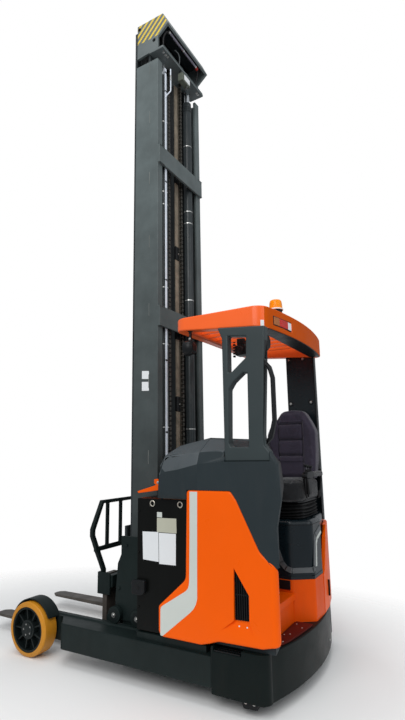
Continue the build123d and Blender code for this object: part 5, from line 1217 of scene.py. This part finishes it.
for z in (3659, 2312):
    for side in (1, -1):
        for rise, seed in ((3, 0), (153, 3)):
            p.tube([mm(-316, side * y, z + rise + noise.noise(Vector((y * 0.1, z, seed)))) for y in range(266, 334, 6)],
                   0.003, "mast", 6, 2)
p.done()

p = Piece("middle_mast_lines", "middle_mast", "mast_grey")
line = [mm(-216 + 1.2 * noise.noise(Vector((1, 0, z * 0.004))), -57 + 1.5 * noise.noise(Vector((0, 2, z * 0.003))), z)
        for z in range(1300, 4691, 60)]
p.hull([[q + Vector((dx, dy, 0)) for dx, dy in ((-0.004, -0.024), (-0.004, 0.024), (0.004, 0.024), (0.004, -0.024))]
        for q in map(Vector, line)], "worn_strip")
for z in (3690, 2980, 2290, 1700):
    p.box(mm(-226, -86, z), mm(-206, -28, z + 120), "plastic", 0.004)
    p.bolt(mm(-226, -72, z + 60), (-1, 0, 0), 0.006, 0.004)
for y in (34, 47):
    line = [mm(-214, y + 1.2 * noise.noise(Vector((y, 0, z * 0.003))), z) for z in range(1300, 4691, 60)]
    p.tube(line, 0.0055, "hose", 10, 1)
for y in (150, -150):
    for k in range(2):
        p.bolt(mm(-205, y, 4640 - k * 40), (-1, 0, 0), 0.007, 0.005)
p.done()

p = Piece("head_fittings", "middle_mast", "mast_grey")
p.box(mm(-334, -318, 5012), mm(-199, 318, 5021), "mast_in", 0.002)
for y0, y1 in ((-312, -116), (-76, 76), (116, 312)):
    p.box(mm(-204, y0, 4722), mm(-198, y1, 5014), "black", 0.001)
for y0 in (-117, 75):
    p.box(mm(-204, y0, 4852), mm(-198, y0 + 42, 5014), "black", 0.001)
braid_line = [mm(-362, 262 - 8 * k, 4893 + 1.2 * math.sin(k * 0.3)) for k in range(55)]
p.tube(braid_line, 0.0105, "braid", 14, 2)
for y in (262, 40, -170):
    p.lathe(mm(-362, y, 4893), (0, 1, 0), [(-0.008, 0.0125), (0.008, 0.0125)], "zinc", 16)
p.tube(mms([(-362, 262, 4893), (-352, 288, 4880), (-330, 300, 4820), (-322, 290, 4730)]), 0.0065, "hose", 10, 8)
p.lathe(mm(-362, -178, 4890), (0.1, -1, -0.15), [(0, 0.010), (0.004, 0.014), (0.024, 0.014), (0.027, 0.010)],
        "red_cap", 24)
p.tube(mms([(-360, -206, 4886), (-345, -232, 4860), (-322, -240, 4800), (-300, -236, 4724)]), 0.0065, "hose", 10, 8)
p.tube(mms([(-318, 112, 4862), (-326, 78, 4856), (-328, 52, 4830), (-322, 44, 4780), (-316, 50, 4724)]), 0.004, "trim",
       8, 8, profile=[(-0.013, -0.003), (0.013, -0.003), (0.013, 0.003), (-0.013, 0.003)])
p.box(mm(-368, -60, 4584), mm(-320, 66, 4658), "olive", 0.004)
# Painted highlight: a thin white sheet on the box's rear face gives the glint of light on it.
p.box(mm(-370.5, -54, 4600), mm(-367.5, 34, 4652), "white", 0.001)
p.box(mm(-344, -40, 4650), mm(-324, 46, 4704), "mast_in", 0.002)
for k in range(4):
    p.lathe(mm(-356 + k * 9, -28 - 6 * k, 4584), (0, 0, -1), [(0, 0.0055), (0.010, 0.0055), (0.012, 0.004)],
            "steel", 12)
for y in (-284, -262, 224, 250, 284):
    p.bolt(mm(-318, y, 4700), (0, 0, -1), 0.008, 0.006)
for side in (1, -1):
    p.tube([mm(-346, side * y, 4722) for y in range(20, 330, 10)], 0.0035, "mast", 6, 1)
    for x, z in ((-100, 4991), (-255, 4811)):
        p.lathe(mm(x, side * 333.4, z), (0, side, 0),
                [(-0.004, 0.0152), (0.0005, 0.0165), (0.0012, 0.0160), (0.0002, 0.0150)], "black", 28, ring=True)
        p.lathe(mm(x, side * 322, z), (0, side, 0), [(0, 0.0148), (0.001, 0.0148)], "black", 28)
    for k in range(3):
        z = 4580 - k * 55
        p.rod(mm(-196, side * (128 + 8 * k), z), mm(-196, side * (128 + 8 * k), z - 30), 0.006, "hose")
p.done()

# Leaf chains: link plates repeated along the flat bars
def link_mesh():
    held = Piece("link", "middle_mast", None)
    half, r = 0.0095, 0.0075
    for y, shift, key in ((-0.0105, 0, "chain"), (-0.0063, half, "chain_dark"), (-0.0021, 0, "chain"),
                          (0.0021, half, "chain_dark"), (0.0063, 0, "chain"), (0.0105, half, "chain_dark")):
        outline = []
        for cz, a0 in ((half, 0), (-half, 180)):
            for k in range(5):
                a = math.radians(a0 + 180 * k / 4)
                outline.append((r * math.cos(a), shift + cz + r * math.sin(a)))
        held.slab(outline, "y", y - 0.0018, y + 0.0018, key)
    mesh = bpy.data.meshes.new("link")
    held.bm.to_mesh(mesh)
    held.bm.free()
    for key in held.keys:
        mesh.materials.append(M[key])
    return mesh


def repeat_up(name, mesh, place, count, pitch, body):
    # Geometry Nodes: copies of the mesh at equal steps up from a place, joined, with the dark plates' material set.
    tree = bpy.data.node_groups.new(name, "GeometryNodeTree")
    face = tree.interface
    face.new_socket("Geometry", in_out="INPUT", socket_type="NodeSocketGeometry")
    s_count = face.new_socket("Count", in_out="INPUT", socket_type="NodeSocketInt")
    s_start = face.new_socket("Start", in_out="INPUT", socket_type="NodeSocketVector")
    s_step = face.new_socket("Step", in_out="INPUT", socket_type="NodeSocketVector")
    face.new_socket("Geometry", in_out="OUTPUT", socket_type="NodeSocketGeometry")
    n_in, n_out = tree.nodes.new("NodeGroupInput"), tree.nodes.new("NodeGroupOutput")
    row = tree.nodes.new("GeometryNodeMeshLine")
    copies = tree.nodes.new("GeometryNodeInstanceOnPoints")
    real = tree.nodes.new("GeometryNodeRealizeInstances")
    tree.links.new(n_in.outputs[1], row.inputs["Count"])
    tree.links.new(n_in.outputs[2], row.inputs["Start Location"])
    tree.links.new(n_in.outputs[3], row.inputs["Offset"])
    tree.links.new(row.outputs[0], copies.inputs["Points"])
    tree.links.new(n_in.outputs[0], copies.inputs["Instance"])
    tree.links.new(copies.outputs[0], real.inputs[0])
    dark = tree.nodes.new("GeometryNodeMaterialSelection")
    dark.inputs["Material"].default_value = M["chain_dark"]
    finish = tree.nodes.new("GeometryNodeSetMaterial")
    finish.inputs["Material"].default_value = M["chain_dark"]
    tree.links.new(real.outputs[0], finish.inputs["Geometry"])
    tree.links.new(dark.outputs[0], finish.inputs["Selection"])
    tree.links.new(finish.outputs[0], n_out.inputs[0])
    o = add_object(name, mesh)
    m = o.modifiers.new("repeat", "NODES")
    m.node_group = tree
    m[s_count.identifier] = count
    m[s_start.identifier] = place
    m[s_step.identifier] = (0.0, 0.0, pitch)
    bake(o)
    for poly in o.data.polygons:
        poly.use_smooth = False
    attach(o, body)
    return o


CHAIN_LOW, CHAIN_HIGH, LINK_PITCH = 0.345, 4.800, 0.038
for side, name in ((1, "left"), (-1, "right")):
    repeat_up("chain_links_" + name, link_mesh(), (-0.2385, side * 0.096, CHAIN_LOW),
              int((CHAIN_HIGH - CHAIN_LOW) / LINK_PITCH), LINK_PITCH, "middle_mast")

# Load wheels: rounded tyres with a moulding line on each side, and hub caps
WHEEL_X, WHEEL_Z = 600, 177.5
for side, name in ((1, "left"), (-1, "right")):
    p = Piece("tyre_" + name, "load_wheel_" + name, "tyre_amber")
    inner, outer = 0.1467, 0.1773
    rows = [(-0.059, inner), (-0.059, inner + 0.012), (-0.0575, inner + 0.014), (-0.0575, outer - 0.016),
            (-0.0540, outer - 0.005), (-0.047, outer), (0.047, outer), (0.0540, outer - 0.005),
            (0.0575, outer - 0.016), (0.0575, inner + 0.014), (0.059, inner + 0.012), (0.059, inner)]
    p.lathe(mm(WHEEL_X, side * 585, WHEEL_Z), (0, side, 0), rows + [rows[0]], "amber_tyre", 96)
    p.done(smooth=24, replaces=("load_tyre_" + name,))
    p = Piece("hub_cap_" + name, "load_wheel_" + name, "hub_dark")
    p.lathe(mm(WHEEL_X, side * 641, WHEEL_Z), (0, side, 0),
            [(-0.01, 0.046), (0.0005, 0.046), (0.0025, 0.042), (0.0015, 0.036), (0.0028, 0.012), (0.003, 0.002)],
            "hub", 40)
    for k in range(5):
        a = math.tau * k / 5
        p.bolt(mm(WHEEL_X + 36 * math.cos(a), side * 642.5, WHEEL_Z + 36 * math.sin(a)), (0, side, 0), 0.005, 0.0015,
               "steel")
    p.done()

# Legs: weld beads at their necks
p = Piece("leg_welds", "chassis", "frame_grey")
for side in (1, -1):
    line = [mm(282 + 0.8 * math.sin(k * 2.1), side * 627.5, 108 + 6.0 * k) for k in range(27)]
    p.tube(line, 0.0030, "frame", 7, 2)
p.done()

# Reach carriage: roller caps and screws
ROLLER_Z = 322.5
p = Piece("carriage_fittings", "reach_carriage", "mast_grey")
for side in (1, -1):
    for x in (-49, -240):
        p.lathe(mm(x, side * 488.8, ROLLER_Z), (0, side, 0),
                [(-0.002, 0.040), (0.001, 0.040), (0.0025, 0.034), (0.0015, 0.028), (0.003, 0.012),
                 (0.0032, 0.003)], "hub", 36)
        p.bolt(mm(x, side * 491, ROLLER_Z), (0, side, 0), 0.012, 0.008, "steel")
    for x, z in ((-270, 480), (-270, 600), (-60, 480), (-120, 760)):
        p.bolt(mm(x, side * 450, z), (0, side, 0), 0.010, 0.007, "frame")
p.done()

# Stage: a floor that fades out, a pale sky and three lights
floor_mesh = bpy.data.meshes.new("floor")
floor_mesh.from_pydata([(-60, -60, 0), (60, -60, 0), (60, 60, 0), (-60, 60, 0)], [], [(0, 1, 2, 3)])
floor = add_object("floor", floor_mesh)
m, t, b = new_material("studio_floor")
feed(t, b, Base_Color=(0.90, 0.90, 0.89, 1), Specular_IOR_Level=0.1,
     Roughness=remap(t, noise_tex(t, coords(t), 3, 3), 0.3, 0.7, 0.75, 0.85))
far = node(t, "ShaderNodeVectorMath", operation="LENGTH")
t.links.new(coords(t, (0.42, 0.62, 0)), far.inputs[0])
clear = node(t, "ShaderNodeBsdfTransparent")
fade = node(t, "ShaderNodeMixShader")
t.links.new(remap(t, far.outputs["Value"], 0.7, 1.35), fade.inputs[0])
t.links.new(b.outputs[0], fade.inputs[1])
t.links.new(clear.outputs[0], fade.inputs[2])
t.links.new(fade.outputs[0], t.nodes["Material Output"].inputs[0])
floor_mesh.materials.append(m)

world = bpy.data.worlds.new("studio")
bpy.context.scene.world = world
world.use_nodes = True
wt = world.node_tree
wt.nodes.clear()
out = wt.nodes.new("ShaderNodeOutputWorld")
back = wt.nodes.new("ShaderNodeBackground")
soft = wt.nodes.new("ShaderNodeBackground")
pick = wt.nodes.new("ShaderNodeMixShader")
ray = wt.nodes.new("ShaderNodeLightPath")
back.inputs[0].default_value = (1, 1, 1, 1)
back.inputs[1].default_value = 1.0
soft.inputs[0].default_value = (0.93, 0.96, 1.0, 1)
soft.inputs[1].default_value = 0.46
wt.links.new(ray.outputs["Is Camera Ray"], pick.inputs[0])
wt.links.new(soft.outputs[0], pick.inputs[1])
wt.links.new(back.outputs[0], pick.inputs[2])
wt.links.new(pick.outputs[0], out.inputs[0])


def area_light(name, place, target, size, power, colour=(1, 1, 1)):
    data = bpy.data.lights.new(name, "AREA")
    data.shape = "RECTANGLE"
    data.size, data.size_y = size
    data.energy = power
    data.color = colour
    o = add_object(name, data)
    o.location = place
    o.rotation_mode = "QUATERNION"
    o.rotation_quaternion = (Vector(target) - Vector(place)).to_track_quat("-Z", "Y")


area_light("key", (-2.0, 6.5, 6.0), (-0.8, 0, 1.2), (5, 5), 330)
area_light("rear_fill", (-6.5, 1.0, 4.5), (-0.8, 0, 1.4), (5, 4), 75, (0.95, 0.98, 1))
area_light("top", (-0.5, 0.5, 9.0), (-0.5, 0, 1), (5, 5), 170)
